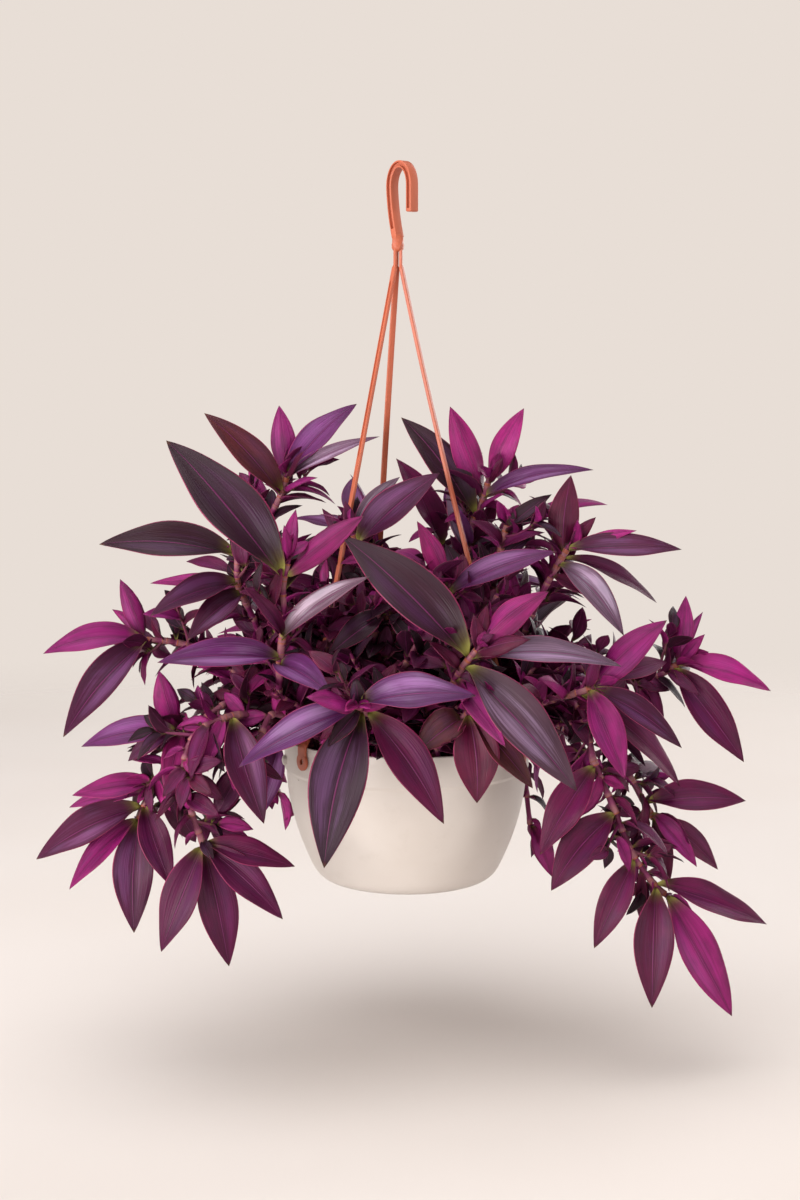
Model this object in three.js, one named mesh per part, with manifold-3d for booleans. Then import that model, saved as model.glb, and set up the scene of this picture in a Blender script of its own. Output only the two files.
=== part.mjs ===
// Tradescantia with purple leaves in a white pot that hangs from a terracotta hook by three strands.
// Millimetres, +Z up, -Y to the front. The origin is where the hook's arch bears on whatever holds it.

import * as THREE from 'three';
import { mergeVertices } from 'three/addons/utils/BufferGeometryUtils.js';
import Module from 'manifold-3d';

const wasm = await Module();
wasm.setup();

// Clearance between pieces that touch on the real thing
const GAP = 0.35;

// Pot: its axis stands at POT_X, its rim at RIM_Z
const POT_X = 3.3;
const RIM_Z = -410.5;
const RIM_RADIUS = 90;
const RIM_EDGE = 0.8;
const POT_HEIGHT = 106;
const WALL = 2.6;
const BAND_HEIGHT = 23;
const BAND_STEP = 1.5;
const FOOT_RADIUS = 54;
const ROUND_SIDES = 30;
const WALL_STEPS = 3;

// The wall's two curves, by share of the radius under the band and share of the height
const BELLY = { radius: 0.985, drop: 0.55 };
const HEEL = { radius: 0.79, drop: 0.89 };
const CORNER_RADIUS = 0.73;

// Soil, and the straight stretch of each stem in it
const SOIL_Z = RIM_Z - 16;
const ROOT_LENGTH = 14;
const STEM_STRAIGHT = 4;

// Hook: a flat hook shape turned about the vertical, with a channel along both faces
const HOOK_TURN = -Math.PI / 4;
const HOOK_BAND = 8;
const HOOK_THICK = 5;
const HOOK_SPAN = 25;
const HOOK_RISE = 17.5;
const HOOK_ARM = 19;
const HOOK_FLANGE = 1.1;
const HOOK_GROOVE = 2.2;
const HOOK_SIDE = { along: 0.6, drop: 12 };
const KNOB_SHIFT = -4.3;
const KNOB_TOP = -46;
const KNOB_BOTTOM = -59;
const KNOB_RADIUS = 4.7;
const HOOK_INTO_KNOB = 3;

// Strands: azimuth of each foot on the rim, and how far the middle bows out from a straight line
const STRANDS = [
  { name: 'strand_left', azimuth: 215.5, bow: 0 },
  { name: 'strand_right', azimuth: 335.5, bow: -4 },
  { name: 'strand_rear', azimuth: 108, bow: 3 },
];
const STRAND_WIDTH = 4.2;
const STRAND_THICK = 2.5;
const NECK_WIDTH = 2.2;
const NECK_LENGTH = 10;
const NECK_SUNK = 5;
const NECK_RING = 2.3;
const NECK_TAPER = 8;
const FOOT_WIDTH = 6.5;
const FOOT_END = 8.3;
const FOOT_THICK = 2;
const FOOT_LENGTH = 14.5;
const LIP_IN = 3;
const LIP_HEIGHT = 5;
const PEG_DROP = 10;
const PEG_RADIUS = 2.1;
const PEG_BORE = 1.4;
const PEG_SIDES = 8;

// Leafy stems
const STEM_SIDES = 4;
const STEM_ROOT_RADIUS = 3.1;
const STEM_TIP_RADIUS = 2.1;
const STEM_SPACING = 0.9;
const BASE_STEP = 0.005;
const BLADE_THICK = 1.5;
const MERGE_TRIES = [0.3, 0.26, 0.22, 0.34, 0.18, 0.4, 0.14, 0.1, 0.06, 0.02];
const SAME_PLACE = 0.005;

// Stations along a blade, by its length: a long one takes more
const LARGE_LEAF = 86;
const LARGE_STATIONS = [0, 0.16, 0.4, 0.72];
const MIDDLE_LEAF = 52;
const MIDDLE_STATIONS = [0, 0.3, 0.66];
const SMALL_STATIONS = [0, 0.42];

// Colour and roughness of each material
const POT_LOOK = [0xece4da, 0.55];
const HANGER_LOOK = [0xd2714c, 0.45];
const SOIL_LOOK = [0x3a2c26, 0.95];
const PLANT_LOOK = [0x6b2f55, 0.5];

// The front shoots were read off one front view, 800 marks wide and 1200 high, seen from this eye.
// A mark (u, v) at the depth y is turned into a place in millimetres by spot().
const VIEW = { u: 400, v: 600, focal: 2000, tilt: THREE.MathUtils.degToRad(6.6) };
const EYE = { x: -1.5, back: 1454, z: -142.5 };

// root: azimuth in degrees and radius in the soil. stem: u, v and y along it, from the soil to its end.
// leaves: u and v at the stem, u and v at the tip, the tip's depth y in mm, width in marks, tone, bow.
const SHOOTS = [
  {
    name: 'far_left',
    root: [192, 60],
    stem: [[262, 672, -22], [205, 650, -30], [168, 641, -36], [139, 640, -38]],
    leaves: [
      [138, 642, 43, 652, -60, 29, 'magenta', 0.1],
      [148, 647, 63, 734, -80, 36, 'dark', 0.07],
      [139, 636, 120, 577, -30, 19, 'magenta', 0.05],
      [145, 638, 112, 608, -12, 12, 'magenta', 0.05],
      [160, 638, 142, 612, 0, 15, 'plum', 0.08],
      [172, 641, 180, 606, 12, 15, 'dark', 0.08],
    ],
  },
  {
    name: 'left_dark',
    root: [172, 52],
    stem: [[272, 662, -10], [252, 615, -28], [238, 584, -40], [238, 553, -46]],
    leaves: [
      [237, 556, 99, 544, -62, 40, 'dark', 0.07],
      [237, 584, 150, 613, -84, 32, 'dark', 0.08],
      [240, 594, 187, 638, -92, 27, 'dark', 0.07],
      [237, 575, 186, 560, -10, 15, 'plum', 0.08],
      [238, 580, 150, 583, -38, 14, 'magenta', 0.07],
      [237, 560, 231, 520, -40, 10, 'maroon', 0.05],
    ],
  },
  {
    name: 'left_front',
    root: [231, 48],
    stem: [[284, 706, -80], [280, 665, -94], [284, 620, -98], [283, 585, -102], [289, 556, -102]],
    leaves: [
      [280, 580, 166, 437, -80, 57, 'dark', 0.08],
      [284, 575, 364, 515, -80, 26, 'rose', 0.1],
      [286, 592, 342, 527, -45, 24, 'dark', 0.1],
      [289, 548, 296, 509, -100, 15, 'magenta', 0.04],
      [288, 560, 284, 524, -120, 10, 'magenta', 0.05],
      [284, 635, 370, 573, -128, 26, 'slate', 0.08],
      [284, 629, 243, 585, -122, 17, 'plum', 0.1],
      [282, 652, 157, 660, -150, 35, 'violet', 0.07],
      [281, 656, 332, 693, -165, 32, 'violet', 0.1],
    ],
  },
  {
    name: 'top_left',
    root: [150, 42],
    stem: [[298, 640, 15], [272, 560, 26], [268, 525, 24], [280, 497, 18], [288, 472, 14]],
    leaves: [
      [279, 495, 204, 413, 0, 31, 'bronze', 0.09],
      [287, 470, 279, 404, 20, 24, 'magenta', 0.04],
      [288, 472, 357, 402, 32, 29, 'violet', 0.1],
      [286, 478, 380, 435, 2, 18, 'slate', 0.1],
      [288, 472, 304, 450, -8, 10, 'maroon', 0.05],
      [284, 488, 318, 477, -8, 11, 'magenta', 0.1],
      [272, 512, 248, 466, 48, 14, 'magenta', 0.05],
      [268, 522, 257, 480, 40, 11, 'plum', 0.05],
    ],
  },
  {
    name: 'top_right',
    root: [38, 38],
    stem: [[452, 650, 14], [466, 565, 20], [473, 522, 18], [484, 497, 14], [489, 478, 10]],
    leaves: [
      [474, 517, 401, 415, 26, 36, 'dark', 0.08],
      [485, 494, 450, 405, 16, 28, 'magenta', 0.04],
      [489, 482, 524, 407, 10, 26, 'magenta', 0.07],
      [485, 498, 594, 468, -20, 22, 'violet', 0.09],
      [489, 480, 503, 457, -8, 11, 'maroon', 0.05],
      [482, 506, 505, 494, -14, 12, 'magenta', 0.07],
      [470, 540, 459, 507, -2, 13, 'violet', 0.08],
    ],
  },
  {
    name: 'right_inner',
    root: [12, 34],
    stem: [[482, 640, 2], [496, 575, -6], [503, 540, -12], [508, 522, -14]],
    leaves: [
      [506, 530, 552, 494, -14, 17, 'dark', 0.1],
      [508, 524, 497, 500, -22, 11, 'magenta', 0.04],
      [505, 530, 608, 504, 24, 14, 'magenta', 0.13],
      [501, 545, 470, 520, -30, 15, 'plum', 0.1],
      [503, 548, 545, 532, -36, 14, 'plum', 0.07],
    ],
  },
  {
    name: 'right_upper',
    root: [2, 62],
    stem: [[515, 655, -8], [540, 598, -18], [557, 566, -24], [569, 546, -26]],
    leaves: [
      [562, 555, 571, 475, -20, 29, 'maroon', 0.05],
      [568, 548, 596, 516, -24, 14, 'maroon', 0.05],
      [569, 547, 637, 530, -32, 14, 'magenta', 0.08],
      [566, 550, 682, 547, -34, 28, 'dark', 0.08],
      [563, 556, 657, 601, 0, 20, 'plum', 0.08],
      [558, 562, 624, 635, -76, 27, 'slate', 0.11],
      [552, 572, 600, 600, -50, 16, 'maroon', 0.09],
    ],
  },
  {
    name: 'front_right',
    root: [298, 50],
    stem: [[446, 722, -62], [450, 692, -98], [462, 668, -116], [480, 646, -122]],
    leaves: [
      [469, 660, 342, 534, -92, 56, 'dark', 0.07],
      [478, 648, 549, 591, -118, 29, 'rose', 0.1],
      [479, 647, 487, 603, -112, 15, 'maroon', 0.05],
      [474, 655, 531, 639, -142, 20, 'maroon', 0.07],
      [470, 658, 622, 664, -128, 29, 'slate', 0.08],
      [466, 664, 577, 788, -150, 50, 'slate', 0.07],
      [457, 676, 506, 748, -158, 22, 'magenta', 0.08],
    ],
  },
  {
    name: 'front_rosette',
    root: [252, 68],
    stem: [[376, 728, -92], [370, 716, -118], [362, 709, -146], [358, 706, -162]],
    leaves: [
      [358, 707, 476, 696, -172, 41, 'violet', 0.1],
      [358, 708, 306, 697, -186, 24, 'magenta', 0.08],
      [360, 709, 238, 766, -184, 35, 'violet', 0.07],
      [361, 710, 324, 865, -176, 53, 'slate', 0.07],
      [364, 712, 444, 821, -158, 41, 'plum', 0.07],
      [358, 704, 354, 680, -158, 9, 'magenta', 0.04],
      [368, 716, 398, 660, -118, 18, 'maroon', 0.08],
    ],
  },
  {
    name: 'front_low',
    root: [284, 72],
    stem: [[446, 738, -86], [458, 722, -108], [470, 712, -126]],
    leaves: [
      [460, 716, 416, 752, -146, 37, 'bronze', 0.1],
      [468, 712, 477, 802, -138, 43, 'maroon', 0.07],
      [470, 712, 533, 786, -126, 31, 'bronze', 0.1],
    ],
  },
  {
    name: 'centre_back',
    root: [95, 22],
    stem: [[402, 645, -4], [380, 592, -24], [360, 548, -34], [352, 532, -36]],
    leaves: [
      [358, 545, 440, 471, -44, 37, 'dark', 0.08],
      [352, 532, 400, 476, -14, 17, 'slate', 0.08],
      [368, 560, 322, 508, -6, 16, 'plum', 0.08],
      [352, 534, 345, 500, -40, 12, 'plum', 0.05],
    ],
  },
  {
    name: 'centre_low',
    root: [250, 26],
    stem: [[398, 665, -42], [392, 632, -54], [386, 612, -62]],
    leaves: [
      [387, 614, 327, 657, -92, 27, 'dark', 0.1],
      [386, 612, 420, 584, -70, 16, 'maroon', 0.08],
      [390, 628, 438, 640, -96, 18, 'plum', 0.08],
    ],
  },
  {
    name: 'centre_right',
    root: [322, 28],
    stem: [[432, 655, -24], [446, 612, -44], [450, 584, -50]],
    leaves: [
      [450, 585, 417, 519, -50, 22, 'rose', 0.05],
      [448, 597, 557, 551, -66, 28, 'violet', 0.09],
      [450, 584, 458, 556, -56, 10, 'magenta', 0.05],
      [446, 610, 404, 596, -78, 16, 'plum', 0.07],
    ],
  },
  {
    name: 'right_front',
    root: [316, 66],
    stem: [[522, 716, -62], [552, 700, -78], [577, 693, -88], [594, 688, -90]],
    leaves: [
      [592, 685, 667, 620, -84, 31, 'magenta', 0.1],
      [592, 688, 667, 660, -48, 25, 'plum', 0.1],
      [594, 690, 682, 748, -94, 27, 'dark', 0.08],
      [590, 692, 625, 779, -124, 33, 'rose', 0.07],
      [572, 694, 538, 679, -112, 22, 'magenta', 0.1],
      [590, 688, 598, 652, -100, 12, 'plum', 0.05],
      [580, 694, 680, 786, -64, 29, 'plum', 0.08],
    ],
  },
  {
    name: 'far_right',
    root: [356, 66],
    stem: [[560, 672, -18], [612, 673, -24], [652, 677, -26], [682, 662, -24]],
    leaves: [
      [682, 661, 686, 594, -16, 20, 'magenta', 0.04],
      [681, 662, 703, 611, 2, 11, 'magenta', 0.04],
      [682, 661, 705, 633, -34, 13, 'magenta', 0.06],
      [672, 668, 668, 624, 4, 14, 'plum', 0.05],
      [680, 664, 771, 691, -32, 29, 'magenta', 0.08],
      [676, 668, 744, 761, -54, 36, 'plum', 0.08],
      [672, 670, 700, 695, -54, 13, 'plum', 0.07],
      [640, 677, 664, 722, -40, 22, 'plum', 0.08],
    ],
  },
  {
    name: 'right_trailer',
    root: [327, 68],
    stem: [
      [538, 706, -58], [578, 706, -72], [594, 762, -80], [613, 806, -84],
      [632, 853, -86], [654, 884, -86], [672, 900, -84],
    ],
    leaves: [
      [595, 766, 540, 853, -100, 35, 'plum', 0.1],
      [617, 816, 551, 890, -106, 38, 'plum', 0.1],
      [637, 862, 594, 947, -100, 29, 'plum', 0.1],
      [656, 886, 767, 921, -78, 32, 'plum', 0.07],
      [670, 899, 732, 1013, -92, 38, 'magenta', 0.08],
      [658, 890, 652, 1005, -112, 38, 'plum', 0.08],
      [645, 875, 641, 921, -76, 13, 'maroon', 0.06],
    ],
  },
  {
    name: 'right_trailer_low',
    root: [344, 70],
    stem: [[560, 695, -30], [600, 722, -44], [626, 770, -52], [646, 805, -56], [656, 822, -56]],
    leaves: [
      [646, 804, 746, 799, -60, 33, 'plum', 0.08],
      [656, 821, 718, 869, -50, 24, 'plum', 0.07],
      [650, 814, 697, 867, -80, 20, 'magenta', 0.1],
      [652, 818, 668, 887, -60, 22, 'maroon', 0.1],
      [634, 786, 668, 770, -20, 22, 'plum', 0.07],
    ],
  },
  {
    name: 'left_low',
    root: [205, 50],
    stem: [[262, 688, -52], [228, 702, -74], [196, 724, -86], [174, 734, -90]],
    leaves: [
      [174, 733, 159, 669, -88, 24, 'magenta', 0.05],
      [174, 733, 81, 745, -104, 30, 'violet', 0.1],
      [180, 730, 122, 717, -66, 11, 'magenta', 0.06],
      [180, 732, 166, 795, -118, 23, 'rose', 0.1],
      [182, 730, 128, 760, -72, 22, 'dark', 0.1],
    ],
  },
  {
    name: 'left_trailer',
    root: [203, 68],
    stem: [
      [262, 706, -58], [234, 716, -66], [204, 732, -70], [176, 756, -72],
      [156, 782, -72], [144, 806, -72], [137, 826, -72],
    ],
    leaves: [
      [154, 784, 72, 795, -84, 26, 'magenta', 0.08],
      [149, 795, 69, 807, -64, 18, 'magenta', 0.1],
      [143, 808, 36, 859, -92, 35, 'dark', 0.07],
      [137, 827, 69, 889, -94, 25, 'magenta', 0.07],
      [138, 822, 134, 931, -96, 38, 'dark', 0.07],
      [143, 810, 172, 886, -100, 29, 'plum', 0.08],
      [150, 792, 196, 841, -56, 28, 'plum', 0.1],
    ],
  },
  {
    name: 'left_trailer_front',
    root: [222, 58],
    stem: [
      [258, 716, -88], [226, 718, -104], [196, 734, -114], [184, 764, -118],
      [187, 797, -118], [198, 830, -116], [206, 852, -114],
    ],
    leaves: [
      [204, 845, 295, 866, -118, 29, 'plum', 0.08],
      [205, 850, 283, 917, -134, 32, 'plum', 0.07],
      [206, 853, 161, 950, -128, 37, 'plum', 0.08],
      [206, 854, 229, 965, -116, 37, 'plum', 0.07],
      [187, 790, 212, 789, -108, 19, 'plum', 0.1],
      [226, 718, 264, 823, -128, 37, 'dark', 0.1],
      [218, 720, 203, 770, -128, 18, 'magenta', 0.1],
    ],
  },
  {
    name: 'left_under',
    root: [238, 66],
    stem: [[276, 714, -92], [258, 742, -104], [249, 766, -106]],
    leaves: [
      [250, 768, 215, 821, -112, 27, 'plum', 0.1],
      [250, 768, 283, 780, -96, 13, 'maroon', 0.06],
    ],
  },
];

// Tones whose upright leaves show their underside to the front
const UNDERSIDES = ['magenta', 'maroon', 'rose'];

// Stems of the back by rule: azimuths in degrees, root and reach as radii from the pot's axis, crown and
// tip as heights over the rim, sway as the turn of the azimuth along the stem, length of the leaves.
const BACK_STEMS = [
  { name: 'back_trailer_1', azimuth: 12, root: 76, reach: 132, crown: 26, tip: -34, sway: 8, length: 76 },
  { name: 'back_trailer_2', azimuth: 44, root: 76, reach: 124, crown: 28, tip: -92, sway: -6, length: 84 },
  { name: 'back_trailer_3', azimuth: 78, root: 77, reach: 128, crown: 24, tip: -58, sway: 8, length: 82 },
  { name: 'back_trailer_4', azimuth: 118, root: 76, reach: 122, crown: 28, tip: -118, sway: 6, length: 86 },
  { name: 'back_trailer_5', azimuth: 151, root: 76, reach: 131, crown: 27, tip: -64, sway: -9, length: 80 },
  { name: 'back_spread_1', azimuth: 24, root: 58, reach: 128, crown: 52, tip: 46, sway: 10, length: 88 },
  { name: 'back_spread_2', azimuth: 56, root: 60, reach: 138, crown: 60, tip: 40, sway: -8, length: 96 },
  { name: 'back_spread_3', azimuth: 88, root: 58, reach: 126, crown: 70, tip: 62, sway: 8, length: 92 },
  { name: 'back_spread_4', azimuth: 126, root: 60, reach: 138, crown: 58, tip: 38, sway: -10, length: 96 },
  { name: 'back_spread_5', azimuth: 158, root: 60, reach: 126, crown: 66, tip: 60, sway: 8, length: 86 },
  { name: 'back_upright_1', azimuth: 34, root: 40, reach: 84, crown: 112, tip: 138, sway: 8, length: 90 },
  { name: 'back_upright_2', azimuth: 72, root: 40, reach: 78, crown: 128, tip: 158, sway: -8, length: 94 },
  { name: 'back_upright_3', azimuth: 112, root: 42, reach: 82, crown: 118, tip: 146, sway: 8, length: 92 },
  { name: 'back_upright_4', azimuth: 144, root: 40, reach: 88, crown: 100, tip: 122, sway: -8, length: 88 },
];
const BACK_LEAVES = 6;
const BACK_FROM = 0.46;

// Stems of the inside, on a spiral under a dome
const INNER = {
  count: 18,
  leaves: 5,
  from: 0.36,
  turn: 137.5,
  root: [12, 60],
  dome: 95,
  reach: [16, 14],
  crown: [22, 78],
  tip: [30, 100],
  length: [50, 14],
  sway: 12,
};
const SEED = 41;

// Leaves by rule: degrees round the stem from one to the next, and how far each opens from it
const LEAF_TURN = 144;
const LEAF_SPREAD = { old: 72, young: 22 };

// What is tried in turn until a stem or leaf is clear of its neighbours
const DEPTH_TRIES = [0, -7, 7, -14, 14, -22, 22, -32, 32, -44, 44];
const BOW_TRIES = [1, 0.3, 2];
const AZIMUTH_TRIES = [0, 5, -5, 10, -10, 16, -16, 24, -24];
const LEAF_TRIES = [
  [0, 0, 1], [20, 0, 1], [-20, 0, 1], [0, 14, 1], [40, 8, 0.9], [-40, 8, 0.9], [0, 28, 0.85],
  [70, 0, 0.85], [-70, 0, 0.85], [110, 8, 0.8], [-110, 8, 0.8], [0, 0, 0.6], [180, 12, 0.7],
  [40, 28, 0.6], [-40, 28, 0.6],
];

const UP = new THREE.Vector3(0, 0, 1);
const TO_VIEWER = new THREE.Vector3(0, -0.75, 0.66);

function vec(x, y, z) {
  return new THREE.Vector3(x, y, z);
}

// Place on the pot's axis system: azimuth in degrees, radius and height
function polar(azimuth, radius, z) {
  const angle = THREE.MathUtils.degToRad(azimuth);
  return vec(POT_X + radius * Math.cos(angle), radius * Math.sin(angle), z);
}

function spot(u, v, y) {
  const rise = (VIEW.v - v) / VIEW.focal;
  const away = EYE.back + y;
  const cos = Math.cos(VIEW.tilt);
  const sin = Math.sin(VIEW.tilt);
  const up = away * (rise * cos - sin) / (cos + rise * sin);
  const depth = away * cos - up * sin;
  return vec(EYE.x + (u - VIEW.u) * depth / VIEW.focal, y, EYE.z + up);
}

function seen(point) {
  const away = point.y + EYE.back;
  const up = point.z - EYE.z;
  const depth = away * Math.cos(VIEW.tilt) - up * Math.sin(VIEW.tilt);
  const rise = away * Math.sin(VIEW.tilt) + up * Math.cos(VIEW.tilt);
  return {
    u: VIEW.u + VIEW.focal * (point.x - EYE.x) / depth,
    v: VIEW.v - VIEW.focal * rise / depth,
    depth,
  };
}

// Seeded random numbers between 0 and 1
function generator(seed) {
  let state = seed;
  return () => {
    state = (state + 0x6d2b79f5) | 0;
    let t = Math.imul(state ^ (state >>> 15), 1 | state);
    t = (t + Math.imul(t ^ (t >>> 7), 61 | t)) ^ t;
    return ((t ^ (t >>> 14)) >>> 0) / 4294967296;
  };
}

// Solids

function solid(points, triangles) {
  const vertProperties = new Float32Array(points.flatMap((p) => [p.x, p.y, p.z]));
  const triVerts = new Uint32Array(triangles.flat());
  return new wasm.Manifold(new wasm.Mesh({ numProp: 3, vertProperties, triVerts }));
}

function solidOf(geometry) {
  geometry.deleteAttribute('normal');
  geometry.deleteAttribute('uv');
  const merged = mergeVertices(geometry, 1e-3);
  const mesh = new wasm.Mesh({
    numProp: 3,
    vertProperties: new Float32Array(merged.attributes.position.array),
    triVerts: new Uint32Array(merged.index.array),
  });
  return new wasm.Manifold(mesh);
}

function geometryOf(body) {
  const mesh = body.getMesh();
  const geometry = new THREE.BufferGeometry();
  geometry.setAttribute('position', new THREE.BufferAttribute(new Float32Array(mesh.vertProperties), 3));
  geometry.setIndex(new THREE.BufferAttribute(new Uint32Array(mesh.triVerts), 1));
  geometry.computeVertexNormals();
  return geometry;
}

// Closed body through rings of points, one after the other, that may end in a single point.
// The diagonals start at every other line, so the two faces of a folded blade run alike.
function loft(rings, apex) {
  const sides = rings[0].length;
  const triangles = [];
  for (let ring = 0; ring + 1 < rings.length; ring++) {
    for (let side = 0; side < sides; side++) {
      const a = ring * sides + side;
      const b = ring * sides + (side + 1) % sides;
      if (side % 2) triangles.push([a, b, a + sides], [b, b + sides, a + sides]);
      else triangles.push([a, b, b + sides], [a, b + sides, a + sides]);
    }
  }
  const last = (rings.length - 1) * sides;
  for (let side = 1; side + 1 < sides; side++) {
    triangles.push([0, side + 1, side]);
    if (!apex) triangles.push([last, last + side, last + side + 1]);
  }
  for (let side = 0; apex && side < sides; side++) {
    triangles.push([last + side, last + (side + 1) % sides, last + sides]);
  }
  return solid(apex ? [...rings.flat(), apex] : rings.flat(), triangles);
}

function turned(profile) {
  const geometry = new THREE.LatheGeometry(profile, ROUND_SIDES);
  geometry.rotateX(Math.PI / 2);
  geometry.translate(POT_X, 0, 0);
  return solidOf(geometry);
}

// Smooth path through the points of a stem, which leaves the soil upright
function stemPath(points) {
  const last = points.length - 1;
  const directions = points.map((point, i) => {
    if (i < 2) return UP.clone();
    return points[Math.min(i + 1, last)].clone().sub(points[i - 1]).normalize();
  });
  return (t) => {
    const place = Math.min(Math.max(t, 0), 1) * last;
    const i = Math.min(Math.floor(place), last - 1);
    const f = place - i;
    const reach = points[i + 1].distanceTo(points[i]);
    return points[i].clone().multiplyScalar(2 * f ** 3 - 3 * f ** 2 + 1)
      .addScaledVector(directions[i], (f ** 3 - 2 * f ** 2 + f) * reach)
      .addScaledVector(points[i + 1], 3 * f ** 2 - 2 * f ** 3)
      .addScaledVector(directions[i + 1], (f ** 3 - f ** 2) * reach);
  };
}

function heading(path, t) {
  const step = 0.01;
  return path(Math.min(t + step, 1)).sub(path(Math.max(t - step, 0))).normalize();
}

function stemRadius(t) {
  return STEM_ROOT_RADIUS + (STEM_TIP_RADIUS - STEM_ROOT_RADIUS) * t;
}

function stemRing(centre, side, forward, radius) {
  const other = forward.clone().cross(side);
  return Array.from({ length: STEM_SIDES }, (_, k) => {
    const angle = (2 * Math.PI * k) / STEM_SIDES;
    return centre.clone()
      .addScaledVector(side, radius * Math.cos(angle))
      .addScaledVector(other, radius * Math.sin(angle));
  });
}

function stemBody(stem, grow) {
  const spans = stem.points.length - 1;
  const stations = [0];
  for (let span = 1; span <= spans; span++) {
    stations.push(span / spans);
    if (span > 1 && span < spans && span < 4) stations.push((span + 0.5) / spans);
  }
  let side = vec(1, 0, 0);
  const rings = stations.map((t) => {
    const forward = heading(stem.path, t);
    side = side.clone().addScaledVector(forward, -side.dot(forward)).normalize();
    return stemRing(stem.path(t), side, forward, stemRadius(t) + grow);
  });
  return loft(rings);
}

// Half width of a blade at u along it, as a part of the widest
function outline(u) {
  return 0.22 * (1 - u) ** 3 + Math.sin(Math.PI * u ** 0.85) ** 0.9;
}

// A blade is folded along its midrib, most where it clasps the stem
function foldAngle(u) {
  return THREE.MathUtils.degToRad(8 + 62 * (1 - u) ** 3);
}

function bladeBody(leaf, grow) {
  const chord = leaf.tip.clone().sub(leaf.base);
  const length = chord.length();
  const along = chord.normalize();
  const normal = leaf.face.clone().addScaledVector(along, -leaf.face.dot(along)).normalize();
  const side = along.clone().cross(normal);
  const control = leaf.base.clone().add(leaf.tip).multiplyScalar(0.5)
    .addScaledVector(normal, 2 * leaf.bow * length);
  const shorter = length > MIDDLE_LEAF ? MIDDLE_STATIONS : SMALL_STATIONS;
  const stations = length > LARGE_LEAF ? LARGE_STATIONS : shorter;
  const rings = stations.map((u) => {
    const centre = leaf.base.clone().multiplyScalar((1 - u) ** 2)
      .addScaledVector(control, 2 * u * (1 - u))
      .addScaledVector(leaf.tip, u ** 2);
    const half = outline(u) * leaf.width / 2 + grow;
    const out = half * Math.cos(foldAngle(u));
    const lift = leaf.fold * half * Math.sin(foldAngle(u));
    const thick = BLADE_THICK * (1 - 0.4 * u) / 2 + grow;
    return [
      centre.clone().addScaledVector(normal, -thick),
      centre.clone().addScaledVector(side, -out).addScaledVector(normal, lift),
      centre.clone().addScaledVector(normal, thick),
      centre.clone().addScaledVector(side, out).addScaledVector(normal, lift),
    ];
  });
  return loft(rings, leaf.tip.clone().addScaledVector(along, grow));
}

// Front shoots, from their marks

function markedStem(shoot) {
  const points = [
    polar(...shoot.root, SOIL_Z - ROOT_LENGTH),
    polar(...shoot.root, SOIL_Z + STEM_STRAIGHT),
    ...shoot.stem.map((mark) => spot(...mark)),
  ];
  return { name: shoot.name, points, path: stemPath(points) };
}

function nearest(path, u, v) {
  let best = 0;
  let least = Infinity;
  for (let i = 20; i < 98; i++) {
    const point = seen(path(i / 100));
    const off = Math.hypot(point.u - u, point.v - v);
    if (off < least) {
      least = off;
      best = i / 100;
    }
  }
  return best;
}

// The places to try for a front leaf: only its depth changes, so it stays on its marks
function markedLeaves(stem, mark, order) {
  const [baseU, baseV, tipU, tipV, depth, width, tone, bow] = mark;
  const base = stem.path(nearest(stem.path, baseU, baseV) - BASE_STEP * order);
  const size = seen(base.clone().setY((base.y + depth) / 2)).depth / VIEW.focal;
  const underside = UNDERSIDES.includes(tone) && tipV < baseV;
  return DEPTH_TRIES.flatMap((shift) => BOW_TRIES.map((factor) => ({
    base,
    tip: spot(tipU, tipV, depth + shift),
    width: width * size,
    bow: bow * factor,
    fold: underside ? -1 : 1,
    face: TO_VIEWER,
  })));
}

// Stems by rule, for the back and the inside of the bush

function ruledStem(rule, turn) {
  const { root, reach, crown, tip } = rule;
  const azimuth = rule.azimuth + turn;
  const points = [
    polar(azimuth, root, SOIL_Z - ROOT_LENGTH),
    polar(azimuth, root, SOIL_Z + STEM_STRAIGHT),
    polar(azimuth, root + 0.22 * (reach - root), RIM_Z + 0.75 * crown),
    polar(azimuth + 0.5 * rule.sway, root + 0.6 * (reach - root), RIM_Z + crown),
    polar(azimuth + rule.sway, reach, RIM_Z + tip),
  ];
  return { name: rule.name, points, path: stemPath(points), azimuth };
}

function ruledLeaves(stem, rule, i, random) {
  const share = i / (rule.leaves - 1);
  const t = rule.from + (0.985 - rule.from) * share;
  const base = stem.path(t);
  const forward = heading(stem.path, t);
  const across = forward.clone().cross(UP).normalize();
  const above = across.clone().cross(forward);
  const around = LEAF_TURN * i + 40 * random();
  const spread = LEAF_SPREAD.old + (LEAF_SPREAD.young - LEAF_SPREAD.old) * share + 8 * random();
  const length = rule.length * (1 - 0.45 * share ** 2) * (0.9 + 0.2 * random());
  return LEAF_TRIES.map(([turn, lift, shrink]) => {
    const psi = THREE.MathUtils.degToRad(around + turn);
    const open = THREE.MathUtils.degToRad(Math.max(spread - lift, 6));
    const direction = forward.clone().multiplyScalar(Math.cos(open))
      .addScaledVector(across, Math.sin(open) * Math.cos(psi))
      .addScaledVector(above, Math.sin(open) * Math.sin(psi))
      .addScaledVector(UP, lift > 0 ? 0.2 : -0.08)
      .normalize();
    return {
      base,
      tip: base.clone().addScaledVector(direction, length * shrink),
      width: (0.27 * length + 4) * shrink,
      bow: 0.1,
      fold: 1,
      face: UP.clone().addScaledVector(outward(stem.azimuth), -0.35),
    };
  });
}

// Pot: a tapered shell with a band round its rim and a rounded foot, open at the top

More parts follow.
